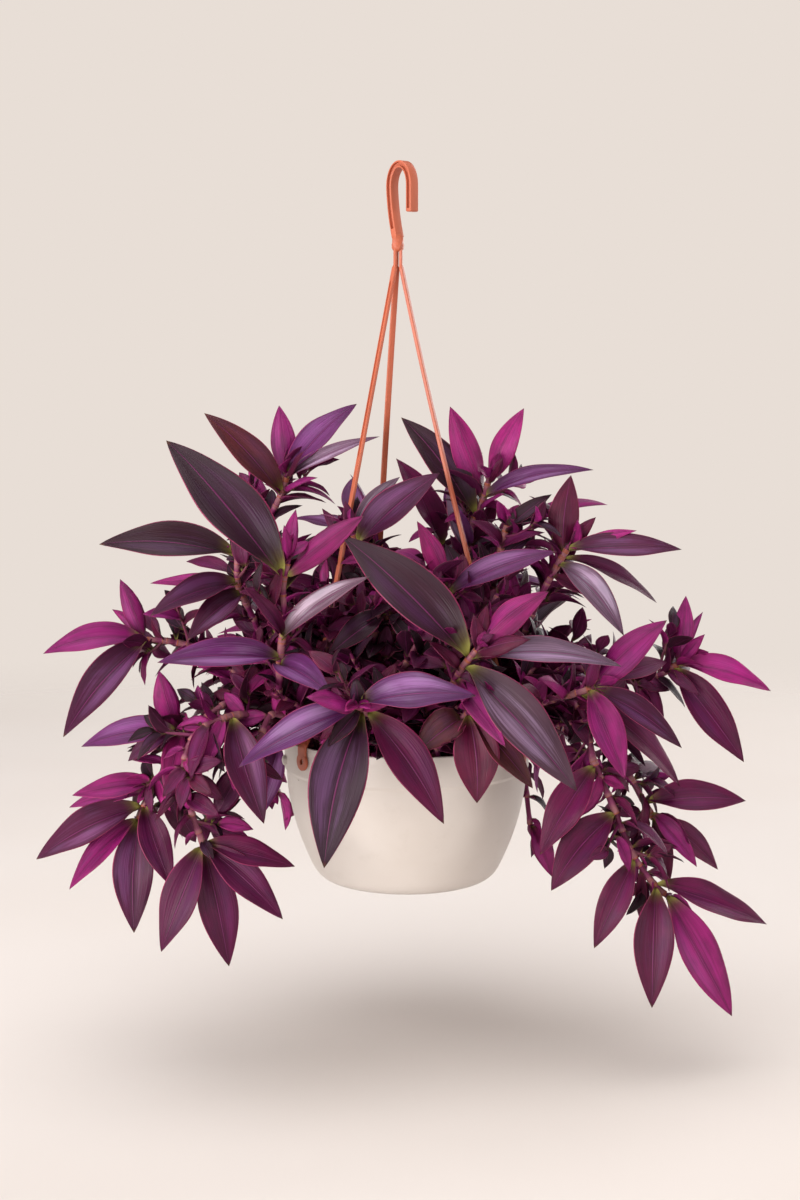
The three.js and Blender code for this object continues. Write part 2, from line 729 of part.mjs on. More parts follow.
// Points down the wall from the band's lower edge to the foot, set in from the outside
function wallLine(inset) {
  const top = RIM_RADIUS - BAND_STEP - inset;
  const floor = RIM_Z - POT_HEIGHT + inset;
  const path = new THREE.Path();
  path.moveTo(top, RIM_Z - BAND_HEIGHT - BAND_STEP);
  path.quadraticCurveTo(
    BELLY.radius * top,
    RIM_Z - BELLY.drop * POT_HEIGHT,
    HEEL.radius * top,
    RIM_Z - HEEL.drop * POT_HEIGHT + inset / 2,
  );
  path.quadraticCurveTo(CORNER_RADIUS * top, floor, FOOT_RADIUS, floor);
  return [new THREE.Vector2(RIM_RADIUS - inset, RIM_Z - BAND_HEIGHT), ...path.getPoints(WALL_STEPS)];
}

function pot() {
  const outside = [
    new THREE.Vector2(RIM_RADIUS - RIM_EDGE, RIM_Z),
    new THREE.Vector2(RIM_RADIUS, RIM_Z - RIM_EDGE),
    ...wallLine(0),
  ];
  const inside = [
    new THREE.Vector2(RIM_RADIUS - WALL + RIM_EDGE, RIM_Z),
    new THREE.Vector2(RIM_RADIUS - WALL, RIM_Z - RIM_EDGE),
    ...wallLine(WALL),
  ];
  const profile = [
    new THREE.Vector2(0, RIM_Z - POT_HEIGHT),
    ...outside.reverse(),
    ...inside,
    new THREE.Vector2(0, RIM_Z - POT_HEIGHT + WALL),
  ];
  const holes = STRANDS.map(({ azimuth }) => rod(azimuth, PEG_RADIUS + GAP, -2 * WALL, WALL));
  return holes.reduce((body, hole) => body.subtract(hole), turned(profile));
}

// Round rod along a radius through the rim band, between two distances from its outside
function rod(azimuth, radius, from, to) {
  const geometry = new THREE.CylinderGeometry(radius, radius, to - from, PEG_SIDES);
  geometry.rotateZ(-Math.PI / 2);
  geometry.translate(RIM_RADIUS + (from + to) / 2, 0, 0);
  geometry.rotateZ(THREE.MathUtils.degToRad(azimuth));
  geometry.translate(POT_X, 0, RIM_Z - PEG_DROP);
  return solidOf(geometry);
}

// Soil: fills the pot to below the rim, with a plain hole for each stem
function soil(stems) {
  const wall = wallLine(WALL + GAP);
  const profile = [
    new THREE.Vector2(0, wall[wall.length - 1].y),
    ...wall.reverse(),
    new THREE.Vector2(RIM_RADIUS - WALL - GAP, SOIL_Z),
    new THREE.Vector2(0, SOIL_Z),
  ];
  const holes = stems.map(({ points }) => {
    const bottom = points[0].clone().setZ(points[0].z - GAP);
    const ends = [bottom, points[1]];
    const radius = STEM_ROOT_RADIUS + GAP * Math.SQRT2;
    return loft(ends.map((end) => stemRing(end, vec(1, 0, 0), UP, radius)));
  });
  return holes.reduce((body, hole) => body.subtract(hole), turned(profile));
}

// Hook: a ribbon along a spine in its own plane, with a knob that takes the three necks

function ribbon(spine, width) {
  const left = [];
  const right = [];
  spine.forEach((point, i) => {
    const before = spine[Math.max(i - 1, 0)];
    const after = spine[Math.min(i + 1, spine.length - 1)];
    const forward = after.clone().sub(before).normalize();
    const normal = new THREE.Vector2(-forward.y, forward.x);
    left.push(point.clone().addScaledVector(normal, width / 2));
    right.push(point.clone().addScaledVector(normal, -width / 2));
  });
  return new THREE.Shape([...left, ...right.reverse()]);
}

// From the knob up the near side, over the arch and down the free arm, shortened at both ends
function hookSpine(shorter) {
  const half = (HOOK_SPAN - HOOK_THICK) / 2;
  const rise = HOOK_RISE - HOOK_THICK / 2;
  const spring = HOOK_THICK / 2 - rise;
  const arch = new THREE.EllipseCurve(0, spring, half, rise, Math.PI, 0, true);
  return [
    new THREE.Vector2(KNOB_SHIFT, KNOB_TOP - HOOK_INTO_KNOB + 2 * shorter),
    new THREE.Vector2(-half + HOOK_SIDE.along, spring - HOOK_SIDE.drop),
    ...arch.getPoints(10),
    new THREE.Vector2(half, spring - HOOK_ARM + shorter),
  ];
}

// A flat shape in the hook's plane, centred at a distance from its middle
function inHookPlane(shape, depth, shift) {
  const geometry = new THREE.ExtrudeGeometry(shape, { depth, bevelEnabled: false });
  geometry.translate(0, 0, shift - depth / 2);
  geometry.rotateX(Math.PI / 2);
  geometry.rotateZ(HOOK_TURN);
  return solidOf(geometry);
}

function knobAxis(z) {
  return vec(KNOB_SHIFT * Math.cos(HOOK_TURN), KNOB_SHIFT * Math.sin(HOOK_TURN), z);
}

function hook() {
  const band = inHookPlane(ribbon(hookSpine(0), HOOK_THICK), HOOK_BAND, 0);
  const channelShape = ribbon(hookSpine(HOOK_FLANGE), HOOK_THICK - 2 * HOOK_FLANGE);
  const channels = [1, -1].map((sign) => inHookPlane(channelShape, 2 * HOOK_GROOVE, sign * HOOK_BAND / 2));
  const middle = knobAxis((KNOB_TOP + KNOB_BOTTOM) / 2);
  const capsule = new THREE.CapsuleGeometry(KNOB_RADIUS, KNOB_TOP - KNOB_BOTTOM - 2 * KNOB_RADIUS, 2, 10);
  capsule.rotateX(Math.PI / 2);
  capsule.translate(middle.x, middle.y, middle.z);
  const sockets = STRANDS.map(({ azimuth }) => neck(azimuth, GAP));
  const whole = channels.reduce((body, cut) => body.subtract(cut), band).add(solidOf(capsule));
  return sockets.reduce((body, cut) => body.subtract(cut), whole);
}

// Strands: each a neck in the knob, a flat strap to the rim and a foot pegged to its outside

function outward(azimuth) {
  const angle = THREE.MathUtils.degToRad(azimuth);
  return vec(Math.cos(angle), Math.sin(angle), 0);
}

// Rectangle across a strap that runs forward, its width along the rim
function strapRing(azimuth, centre, forward, width, thick) {
  const side = UP.clone().cross(outward(azimuth));
  const other = forward.clone().cross(side).normalize();
  return [[1, -1], [1, 1], [-1, 1], [-1, -1]].map(([a, b]) => centre.clone()
    .addScaledVector(side, a * width / 2)
    .addScaledVector(other, b * thick / 2));
}

function neck(azimuth, grow) {
  const width = NECK_WIDTH + 2 * grow;
  const ends = [KNOB_BOTTOM + NECK_SUNK + grow, KNOB_BOTTOM - NECK_LENGTH];
  return loft(ends.map((z) => {
    const centre = knobAxis(z).addScaledVector(outward(azimuth), NECK_RING);
    return strapRing(azimuth, centre, vec(0, 0, -1), width, width);
  }));
}

function strand({ azimuth, bow }) {
  const out = outward(azimuth);
  const start = knobAxis(KNOB_BOTTOM - NECK_LENGTH + 1).addScaledVector(out, NECK_RING);
  const lip = polar(azimuth, RIM_RADIUS - LIP_IN, RIM_Z + LIP_HEIGHT);
  const over = polar(azimuth, RIM_RADIUS + GAP + FOOT_THICK / 2, RIM_Z + FOOT_THICK / 2 + GAP);
  const along = (share) => start.clone().lerp(lip, share)
    .addScaledVector(out, 4 * bow * share * (1 - share));
  const down = (share) => over.clone().setZ(RIM_Z - share * FOOT_LENGTH);
  const stations = [
    [start, NECK_WIDTH + GAP, STRAND_THICK],
    [along(NECK_TAPER / start.distanceTo(lip)), STRAND_WIDTH, STRAND_THICK],
    [along(0.28), STRAND_WIDTH, STRAND_THICK],
    [along(0.52), STRAND_WIDTH, STRAND_THICK],
    [along(0.76), STRAND_WIDTH, STRAND_THICK],
    [along(0.97), STRAND_WIDTH, STRAND_THICK],
    [lip, FOOT_WIDTH, FOOT_THICK],
    [over, FOOT_WIDTH, FOOT_THICK],
    [down(0.45), FOOT_WIDTH, FOOT_THICK],
    [down(0.7), FOOT_END, FOOT_THICK],
    [down(0.9), 0.85 * FOOT_END, FOOT_THICK],
    [down(1), 0.35 * FOOT_END, FOOT_THICK],
  ];
  const rings = stations.map(([centre, width, thick], i) => {
    const before = stations[Math.max(i - 1, 0)][0];
    const after = stations[Math.min(i + 1, stations.length - 1)][0];
    return strapRing(azimuth, centre, after.clone().sub(before).normalize(), width, thick);
  });
  return loft(rings)
    .add(neck(azimuth, 0))
    .add(rod(azimuth, PEG_RADIUS, -WALL - PEG_RADIUS, GAP + FOOT_THICK / 2))
    .subtract(rod(azimuth, PEG_BORE, -WALL, 2 * FOOT_THICK));
}

// The whole: holder, then every stem, then each leaf where it crosses no neighbour

const group = new THREE.Group();
const placed = [];

function keep(owner, body) {
  placed.push({ owner, body, box: body.boundingBox() });
}

function apart(a, b) {
  return [0, 1, 2].some((k) => a.max[k] < b.min[k] || b.max[k] < a.min[k]);
}

function clear(owner, body) {
  const box = body.boundingBox();
  return placed.every((other) => other.owner === owner
    || apart(box, other.box)
    || body.intersect(other.body).isEmpty());
}

// The outer shell of a fused body, without a hollow or a scrap that the fusing may leave
function outerShell(body) {
  return body.decompose().reduce((best, shell) => (shell.volume() > best.volume() ? shell : best));
}

function cornersApart(body) {
  const { vertProperties } = body.getMesh();
  const corners = [];
  for (let k = 0; k < vertProperties.length; k += 3) {
    corners.push(vec(...vertProperties.slice(k, k + 3)));
  }
  return corners.every((a, i) => corners.slice(i + 1).every((b) => a.distanceTo(b) > SAME_PLACE));
}

// Flat and short faces merged, by the first measure that leaves no two corners in one place
function merged(body) {
  const tries = MERGE_TRIES.map((measure) => outerShell(body.asOriginal().simplify(measure)));
  return tries.find(cornersApart) ?? tries[0];
}

function addMesh(name, body, color, roughness) {
  const material = new THREE.MeshStandardMaterial({ color, roughness, metalness: 0 });
  const mesh = new THREE.Mesh(geometryOf(body), material);
  mesh.name = name;
  group.add(mesh);
}

function addHolder(name, body, color, roughness) {
  keep(name, body);
  addMesh(name, merged(body), color, roughness);
}

addHolder('pot', pot(), ...POT_LOOK);
addHolder('hook', hook(), ...HANGER_LOOK);
for (const row of STRANDS) {
  addHolder(row.name, strand(row), ...HANGER_LOOK);
}

const random = generator(SEED);

function innerRule(k) {
  const root = INNER.root[0] + INNER.root[1] * Math.sqrt((k + 0.5) / INNER.count);
  const dome = 1 - (root / INNER.dome) ** 2;
  return {
    name: `inner_${k + 1}`,
    azimuth: INNER.turn * k,
    root,
    reach: root + INNER.reach[0] + INNER.reach[1] * random(),
    crown: INNER.crown[0] + INNER.crown[1] * dome,
    tip: INNER.tip[0] + INNER.tip[1] * dome,
    sway: INNER.sway,
    length: INNER.length[0] + INNER.length[1] * random(),
    leaves: INNER.leaves,
    from: INNER.from,
  };
}

const shoots = SHOOTS.map((shoot) => {
  const stem = markedStem(shoot);
  keep(stem.name, stemBody(stem, 0));
  return { stem, leaves: shoot.leaves.map((mark, i) => markedLeaves(stem, mark, i)) };
});

const rules = [
  ...BACK_STEMS.map((rule) => ({ ...rule, leaves: BACK_LEAVES, from: BACK_FROM })),
  ...Array.from({ length: INNER.count }, (_, k) => innerRule(k)),
];
for (const rule of rules) {
  const free = (turn) => clear(rule.name, stemBody(ruledStem(rule, turn), GAP + STEM_SPACING));
  const stem = ruledStem(rule, AZIMUTH_TRIES.find(free) ?? 0);
  keep(stem.name, stemBody(stem, 0));
  const leaves = Array.from({ length: rule.leaves }, (_, i) => ruledLeaves(stem, rule, i, random));
  shoots.push({ stem, leaves });
}

addHolder('soil', soil(shoots.map(({ stem }) => stem)), ...SOIL_LOOK);

for (const { stem, leaves } of shoots) {
  const body = leaves.reduce((whole, tries) => {
    const leaf = tries.find((tried) => clear(stem.name, bladeBody(tried, GAP)));
    if (!leaf) return whole;
    keep(stem.name, bladeBody(leaf, 0));
    return whole.add(bladeBody(leaf, 0));
  }, stemBody(stem, 0));
  addMesh(stem.name, merged(body), ...PLANT_LOOK);
}

export default group;
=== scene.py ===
# Looks of the potted tradescantia: a white pot on a terracotta hanger, full of purple leafy stems.
# Plans and rules are in millimetres, and meshes in metres: +Z up, -Y to the front.
import math

import bmesh
import bpy
import mathutils
import numpy as np
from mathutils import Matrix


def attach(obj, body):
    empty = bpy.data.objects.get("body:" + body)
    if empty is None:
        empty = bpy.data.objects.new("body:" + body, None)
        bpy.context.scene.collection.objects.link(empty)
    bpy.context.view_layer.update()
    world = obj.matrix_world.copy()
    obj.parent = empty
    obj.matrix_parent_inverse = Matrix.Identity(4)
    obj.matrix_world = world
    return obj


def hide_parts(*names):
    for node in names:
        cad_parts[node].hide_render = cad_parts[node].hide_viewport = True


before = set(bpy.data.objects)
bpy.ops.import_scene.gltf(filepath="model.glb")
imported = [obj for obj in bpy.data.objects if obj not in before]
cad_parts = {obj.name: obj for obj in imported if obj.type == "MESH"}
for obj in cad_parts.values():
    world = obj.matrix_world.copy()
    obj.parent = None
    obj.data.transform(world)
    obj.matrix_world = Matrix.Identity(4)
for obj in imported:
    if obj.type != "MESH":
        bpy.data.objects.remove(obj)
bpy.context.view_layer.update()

MM = 0.001
SHARP_CUT = 38
UP = np.array([0.0, 0.0, 1.0])

# Pot and soil
POT_X = 3.3
RIM_Z = -410.5
RIM_RADIUS = 90.0
POT_HEIGHT = 106.0
POT_FLOOR = RIM_Z - POT_HEIGHT
WALL = 2.6
BAND_HEIGHT = 23.0
BAND_STEP = 1.5
FOOT_RADIUS = 54.0
FOOT_HOLLOW = 1.4
CORNER_RADIUS = 0.73
BELLY = (0.985, 0.55)
HEEL = (0.79, 0.89)
LUG_AZIMUTH, LUG_THICK, LUG_WIDTH, LUG_HEIGHT, LUG_DROP = 192.0, 3.6, 7.0, 8.0, 15.5
POT_SIDES = 160
SOIL_Z = RIM_Z - 16
SOIL_SEED = 7
SOIL_SIDES = 110
SOIL_WAVES = 26
CRUMBS, LEAF_BITS = 90000.0, 2500.0
ROOT_LENGTH = 14
STEM_STRAIGHT = 4
GAP = 0.35

# Hook and knob
HOOK_TURN = -math.pi / 4
HOOK_BAND = 8.0
HOOK_THICK = 5.0
HOOK_SPAN = 25.0
HOOK_RISE = 17.5
HOOK_ARM = 19.0
HOOK_FLANGE = 1.1
HOOK_GROOVE = 2.2
HOOK_INTO_KNOB = 3.0
KNOB_SHIFT = -4.3
KNOB_TOP = -46.0
KNOB_BOTTOM = -59.0
KNOB_RADIUS = 4.7
KNOB_RIB = 0.55
KNOB_BELT = 0.3
KNOB_FLAT = 0.97
KNOB_RINGS, KNOB_SIDES = 25, 40
ARCH_STEPS, ARM_STEPS = 32, 8

# Straps: azimuth and bow of each, then their sizes
STRANDS = {"strand_left": (215.5, 0.0), "strand_right": (335.5, -4.0), "strand_rear": (108.0, 3.0)}
GROOVED = "strand_left"
GROOVE = (0.035, 0.405)
GROOVE_DEPTH = 0.75
STRAND_RUN = (0.03, 0.965)
STRAND_STEPS = 60
STRAND_WIDTH = 4.2
STRAND_THICK = 2.5
NECK_WIDTH = 2.2
NECK_LENGTH = 10.0
NECK_SUNK = 5.0
NECK_RING = 2.3
FOOT_THICK = 2.0
FOOT_WIDTH = 9.5
FOOT_END = 12.8
LIP_IN = 3.0
LIP_HEIGHT = 5.0
PEG_DROP = 10.0
BORE_RADIUS = 2.0

# The eye that the front shoots were read from: marks are 800 wide and 1200 high
EYE = (-1.5, -1454.0, -142.5)
TILT = math.radians(6.6)
LENS, SENSOR = 60, 36
FOCAL = 1200 * LENS / SENSOR
MARK_MIDDLE = (400, 600)

# Front shoots. Root: azimuth and radius in the soil. Stem: u, v and depth of its points.
# Leaves: u and v at the stem, u, v and depth at the tip, width in marks, tone, bow.
SHOOTS = {
    "far_left": ((192, 60), [
        (262, 672, -22), (205, 650, -30), (168, 641, -36), (139, 640, -38)], [
        (138, 642, 43, 652, -60, 29, "magenta", 0.1), (148, 647, 63, 734, -80, 36, "wine", 0.07),
        (139, 636, 120, 577, -30, 19, "magenta", 0.05), (145, 638, 112, 608, -12, 12, "magenta", 0.05),
        (160, 638, 142, 612, 0, 15, "plum", 0.08), (172, 641, 180, 606, 12, 15, "dark", 0.08)]),
    "left_dark": ((172, 52), [
        (272, 662, -10), (252, 615, -28), (238, 584, -40), (238, 553, -46)], [
        (237, 556, 99, 544, -62, 40, "dark", 0.07), (237, 584, 150, 613, -84, 32, "wine", 0.08),
        (240, 594, 187, 638, -92, 27, "wine", 0.07), (237, 575, 186, 560, -10, 15, "plum", 0.08),
        (238, 580, 150, 583, -38, 14, "magenta", 0.07), (237, 560, 231, 520, -40, 10, "maroon", 0.05)]),
    "left_front": ((231, 48), [
        (284, 706, -80), (280, 665, -94), (284, 620, -98), (283, 585, -102), (289, 556, -102)], [
        (280, 580, 166, 437, -80, 57, "dark", 0.08), (284, 575, 364, 515, -80, 26, "rose", 0.1),
        (286, 592, 342, 527, -45, 24, "dark", 0.1), (289, 548, 296, 509, -100, 15, "magenta", 0.04),
        (288, 560, 284, 524, -120, 10, "magenta", 0.05), (284, 635, 370, 573, -128, 26, "slate", 0.08),
        (284, 629, 243, 585, -122, 17, "plum", 0.1), (282, 652, 157, 660, -150, 35, "violet", 0.07),
        (281, 656, 332, 693, -165, 32, "violet", 0.1)]),
    "top_left": ((150, 42), [
        (298, 640, 15), (272, 560, 26), (268, 525, 24), (280, 497, 18), (288, 472, 14)], [
        (279, 495, 204, 413, 0, 31, "bronze", 0.09), (287, 470, 279, 404, 20, 24, "magenta", 0.04),
        (288, 472, 357, 402, 32, 29, "violet", 0.1), (286, 478, 380, 435, 2, 18, "slate", 0.1),
        (288, 472, 304, 450, -8, 10, "maroon", 0.05), (284, 488, 318, 477, -8, 11, "magenta", 0.1),
        (272, 512, 248, 466, 48, 14, "magenta", 0.05), (268, 522, 257, 480, 40, 11, "plum", 0.05)]),
    "top_right": ((38, 38), [
        (452, 650, 14), (466, 565, 20), (473, 522, 18), (484, 497, 14), (489, 478, 10)], [
        (474, 517, 401, 415, 26, 36, "dark", 0.08), (485, 494, 450, 405, 16, 28, "magenta", 0.04),
        (489, 482, 524, 407, 10, 26, "magenta", 0.07), (485, 498, 594, 468, -20, 22, "violet", 0.09),
        (489, 480, 503, 457, -8, 11, "maroon", 0.05), (482, 506, 505, 494, -14, 12, "magenta", 0.07),
        (470, 540, 459, 507, -2, 13, "violet", 0.08)]),
    "right_inner": ((12, 34), [
        (482, 640, 2), (496, 575, -6), (503, 540, -12), (508, 522, -14)], [
        (506, 530, 552, 494, -14, 17, "dark", 0.1), (508, 524, 497, 500, -22, 11, "magenta", 0.04),
        (505, 530, 608, 504, 24, 14, "magenta", 0.13), (501, 545, 470, 520, -30, 15, "plum", 0.1),
        (503, 548, 545, 532, -36, 14, "plum", 0.07)]),
    "right_upper": ((2, 62), [
        (515, 655, -8), (540, 598, -18), (557, 566, -24), (569, 546, -26)], [
        (562, 555, 571, 475, -20, 29, "maroon", 0.05), (568, 548, 596, 516, -24, 14, "maroon", 0.05),
        (569, 547, 637, 530, -32, 14, "magenta", 0.08), (566, 550, 682, 547, -34, 28, "wine", 0.08),
        (563, 556, 657, 601, 0, 20, "plum", 0.08), (558, 562, 624, 635, -76, 27, "slate", 0.11),
        (552, 572, 600, 600, -50, 16, "maroon", 0.09)]),
    "front_right": ((298, 50), [
        (446, 722, -62), (450, 692, -98), (462, 668, -116), (480, 646, -122)], [
        (469, 660, 342, 534, -92, 56, "dark", 0.07), (478, 648, 549, 591, -118, 29, "rose", 0.1),
        (479, 647, 487, 603, -112, 15, "maroon", 0.05), (474, 655, 531, 639, -142, 20, "maroon", 0.07),
        (470, 658, 622, 664, -128, 29, "slate", 0.08), (466, 664, 577, 788, -150, 50, "ash", 0.07),
        (457, 676, 506, 748, -158, 22, "magenta", 0.08)]),
    "front_rosette": ((252, 68), [
        (376, 728, -92), (370, 716, -118), (362, 709, -146), (358, 706, -162)], [
        (358, 707, 476, 696, -172, 41, "violet", 0.1), (358, 708, 306, 697, -186, 24, "magenta", 0.08),
        (360, 709, 238, 766, -184, 35, "violet", 0.07), (361, 710, 324, 865, -176, 53, "dusk", 0.07),
        (364, 712, 444, 821, -158, 41, "plum", 0.07), (358, 704, 354, 680, -158, 9, "magenta", 0.04),
        (368, 716, 398, 660, -118, 18, "maroon", 0.08)]),
    "front_low": ((284, 72), [
        (446, 738, -86), (458, 722, -108), (470, 712, -126)], [
        (460, 716, 416, 752, -146, 37, "bronze", 0.1), (468, 712, 477, 802, -138, 43, "maroon", 0.07),
        (470, 712, 533, 786, -126, 31, "bronze", 0.1)]),
    "centre_back": ((95, 22), [
        (402, 645, -4), (380, 592, -24), (360, 548, -34), (352, 532, -36)], [
        (358, 545, 440, 471, -44, 37, "wine", 0.08), (352, 532, 400, 476, -14, 17, "slate", 0.08),
        (368, 560, 322, 508, -6, 16, "plum", 0.08), (352, 534, 345, 500, -40, 12, "plum", 0.05)]),
    "centre_low": ((250, 26), [
        (398, 665, -42), (392, 632, -54), (386, 612, -62)], [
        (387, 614, 327, 657, -92, 27, "dark", 0.1), (386, 612, 420, 584, -70, 16, "maroon", 0.08),
        (390, 628, 438, 640, -96, 18, "plum", 0.08)]),
    "centre_right": ((322, 28), [
        (432, 655, -24), (446, 612, -44), (450, 584, -50)], [
        (450, 585, 417, 519, -50, 22, "rose", 0.05), (448, 597, 557, 551, -66, 28, "violet", 0.09),
        (450, 584, 458, 556, -56, 10, "magenta", 0.05), (446, 610, 404, 596, -78, 16, "plum", 0.07)]),
    "right_front": ((316, 66), [
        (522, 716, -62), (552, 700, -78), (577, 693, -88), (594, 688, -90)], [
        (592, 685, 667, 620, -84, 31, "magenta", 0.1), (592, 688, 667, 660, -48, 25, "plum", 0.1),
        (594, 690, 682, 748, -94, 27, "wine", 0.08), (590, 692, 625, 779, -124, 33, "rose", 0.07),
        (572, 694, 538, 679, -112, 22, "magenta", 0.1), (590, 688, 598, 652, -100, 12, "plum", 0.05),
        (580, 694, 680, 786, -64, 29, "plum", 0.08)]),
    "far_right": ((356, 66), [
        (560, 672, -18), (612, 673, -24), (652, 677, -26), (682, 662, -24)], [
        (682, 661, 686, 594, -16, 20, "magenta", 0.04), (681, 662, 703, 611, 2, 11, "magenta", 0.04),
        (682, 661, 705, 633, -34, 13, "magenta", 0.06), (672, 668, 668, 624, 4, 14, "plum", 0.05),
        (680, 664, 771, 691, -32, 29, "magenta", 0.08), (676, 668, 744, 761, -54, 36, "plum", 0.08),
        (672, 670, 700, 695, -54, 13, "plum", 0.07), (640, 677, 664, 722, -40, 22, "plum", 0.08)]),
    "right_trailer": ((327, 68), [
        (538, 706, -58), (578, 706, -72), (594, 762, -80), (613, 806, -84), (632, 853, -86), (654, 884, -86),
        (672, 900, -84)], [
        (595, 766, 540, 853, -100, 35, "plum", 0.1), (617, 816, 551, 890, -106, 38, "plum", 0.1),
        (637, 862, 594, 947, -100, 29, "plum", 0.1), (656, 886, 767, 921, -78, 32, "plum", 0.07),
        (670, 899, 732, 1013, -92, 38, "magenta", 0.08), (658, 890, 652, 1005, -112, 38, "plum", 0.08),
        (645, 875, 641, 921, -76, 13, "maroon", 0.06)]),
    "right_trailer_low": ((344, 70), [
        (560, 695, -30), (600, 722, -44), (626, 770, -52), (646, 805, -56), (656, 822, -56)], [
        (646, 804, 746, 799, -60, 33, "plum", 0.08), (656, 821, 718, 869, -50, 24, "plum", 0.07),
        (650, 814, 697, 867, -80, 20, "magenta", 0.1), (652, 818, 668, 887, -60, 22, "maroon", 0.1),
        (634, 786, 668, 770, -20, 22, "plum", 0.07)]),
    "left_low": ((205, 50), [
        (262, 688, -52), (228, 702, -74), (196, 724, -86), (174, 734, -90)], [
        (174, 733, 159, 669, -88, 24, "magenta", 0.05), (174, 733, 81, 745, -104, 30, "violet", 0.1),
        (180, 730, 122, 717, -66, 11, "magenta", 0.06), (180, 732, 166, 795, -118, 23, "rose", 0.1),
        (182, 730, 128, 760, -72, 22, "wine", 0.1)]),
    "left_trailer": ((203, 68), [
        (262, 706, -58), (234, 716, -66), (204, 732, -70), (176, 756, -72), (156, 782, -72), (144, 806, -72),
        (137, 826, -72)], [
        (154, 784, 72, 795, -84, 26, "magenta", 0.08), (149, 795, 69, 807, -64, 18, "magenta", 0.1),
        (143, 808, 36, 859, -92, 35, "wine", 0.07), (137, 827, 69, 889, -94, 25, "magenta", 0.07),
        (138, 822, 134, 931, -96, 38, "wine", 0.07), (143, 810, 172, 886, -100, 29, "plum", 0.08),
        (150, 792, 196, 841, -56, 28, "plum", 0.1)]),
    "left_trailer_front": ((222, 58), [
        (258, 716, -88), (226, 718, -104), (196, 734, -114), (184, 764, -118), (187, 797, -118), (198, 830, -116),
        (206, 852, -114)], [
        (204, 845, 295, 866, -118, 29, "plum", 0.08), (205, 850, 283, 917, -134, 32, "plum", 0.07),
        (206, 853, 161, 950, -128, 37, "plum", 0.08), (206, 854, 229, 965, -116, 37, "plum", 0.07),
        (187, 790, 212, 789, -108, 19, "plum", 0.1), (226, 718, 264, 823, -128, 37, "wine", 0.1),
        (218, 720, 203, 770, -128, 18, "magenta", 0.1)]),
    "left_under": ((238, 66), [
        (276, 714, -92), (258, 742, -104), (249, 766, -106)], [
        (250, 768, 215, 821, -112, 27, "plum", 0.1), (250, 768, 283, 780, -96, 13, "maroon", 0.06)]),
}

# Stems at the back, by rule: name, azimuth, root, reach, crown, tip, sway, leaf length
BACK_STEMS = [
    ("back_trailer_1", 12, 76, 132, 26, -34, 8, 76),
    ("back_trailer_2", 44, 76, 124, 28, -92, -6, 84),
    ("back_trailer_3", 78, 77, 128, 24, -58, 8, 82),
    ("back_trailer_4", 118, 76, 122, 28, -118, 6, 86),
    ("back_trailer_5", 151, 76, 131, 27, -64, -9, 80),
    ("back_spread_1", 24, 58, 128, 52, 46, 10, 88),
    ("back_spread_2", 56, 60, 138, 60, 40, -8, 96),
    ("back_spread_3", 88, 58, 126, 70, 62, 8, 92),
    ("back_spread_4", 126, 60, 138, 58, 38, -10, 96),
    ("back_spread_5", 158, 60, 126, 66, 60, 8, 86),
    ("back_upright_1", 34, 40, 84, 112, 138, 8, 90),
    ("back_upright_2", 72, 40, 78, 128, 158, -8, 94),
    ("back_upright_3", 112, 42, 82, 118, 146, 8, 92),
    ("back_upright_4", 144, 40, 88, 100, 122, -8, 88),
]
BACK_LEAVES = 6
BACK_FROM = 0.46
INNER_COUNT = 18
INNER_LEAVES = 5
INNER_FROM = 0.36
INNER_TURN = 137.5
INNER_SWAY = 12
RULE_SEED = 41
PLANT_SEED = 2024

# Large leaves: how they spread, and the places that each may take
LEAF_TURN = 144
SPREAD_OLD = 72
SPREAD_YOUNG = 22
BASE_STEP = 0.005
DEPTH_TRIES = (0, -7, 7, -14, 14, -22, 22, -32, 32, -44, 44)
BOW_TRIES = (1, 0.3, 2)
AZIMUTH_TRIES = (0, 5, -5, 10, -10, 16, -16, 24, -24)
LEAF_TRIES = (
    (0, 0, 1), (20, 0, 1), (-20, 0, 1), (0, 14, 1), (40, 8, 0.9), (-40, 8, 0.9), (0, 28, 0.85),
    (70, 0, 0.85), (-70, 0, 0.85), (110, 8, 0.8), (-110, 8, 0.8), (0, 0, 0.6), (180, 12, 0.7),
    (40, 28, 0.6), (-40, 28, 0.6),
)
LAST_LEAF = 0.985
RULED_WIDTH, SMALL_WIDTH = (0.27, 4), (0.28, 4.5)
RULED_BOW = 0.1
TIP_MISS = 2.5
BLADE_MISS = 1.5
UNDERSIDES = ("magenta", "maroon", "rose")
TO_VIEWER = (0, -0.75, 0.66)
BLADE_WIDER = 1.13
LARGE_BLADE = 50
BLADE_FOOT, BLADE_SKEW, BLADE_FULL = 0.22, 0.85, 0.9

# Stems
STEM_RADII = (3.1, 2.1)
TWIG_RADII = (1.5, 0.9)
LOW_RADII = (1.9, 1.3)
LARGE_SHEATH, MIDDLE_SHEATH, SMALL_SHEATH, LOW_SHEATH = 14.0, 8.0, 5.5, 5.0
GOLDEN_TURN = math.radians(137.5)

# Tones of the added leaves and of the leaves on twigs, and the steps along a stem from one to the next
PLACES = {
    "front": (("plum", "magenta", "dark", "rose", "maroon"),
              ("magenta", "plum", "maroon", "deep", "dark", "plum"), 6.5, 19),
    "back": (("dark", "plum", "slate", "magenta", "violet", "dark", "plum"),
             ("magenta", "plum", "maroon", "dark", "magenta", "plum"), 9, 25),
    # Inner leaves take mostly the darkest tone, which paints the shade inside the bush; front twigs take it now and
    # then
    "inner": (("deep", "maroon", "deep", "dark", "plum"), ("deep", "maroon", "deep", "plum"), 11, 24),
}
BACK_TIP_TONES = ("magenta", "violet", "plum")
YOUNG_TONES = ("magenta", "rose", "plum")
LEAF_RUN, TWIG_RUN, LOW_RUN = (0.30, 0.94), (0.30, 0.84), (0.42, 0.97)
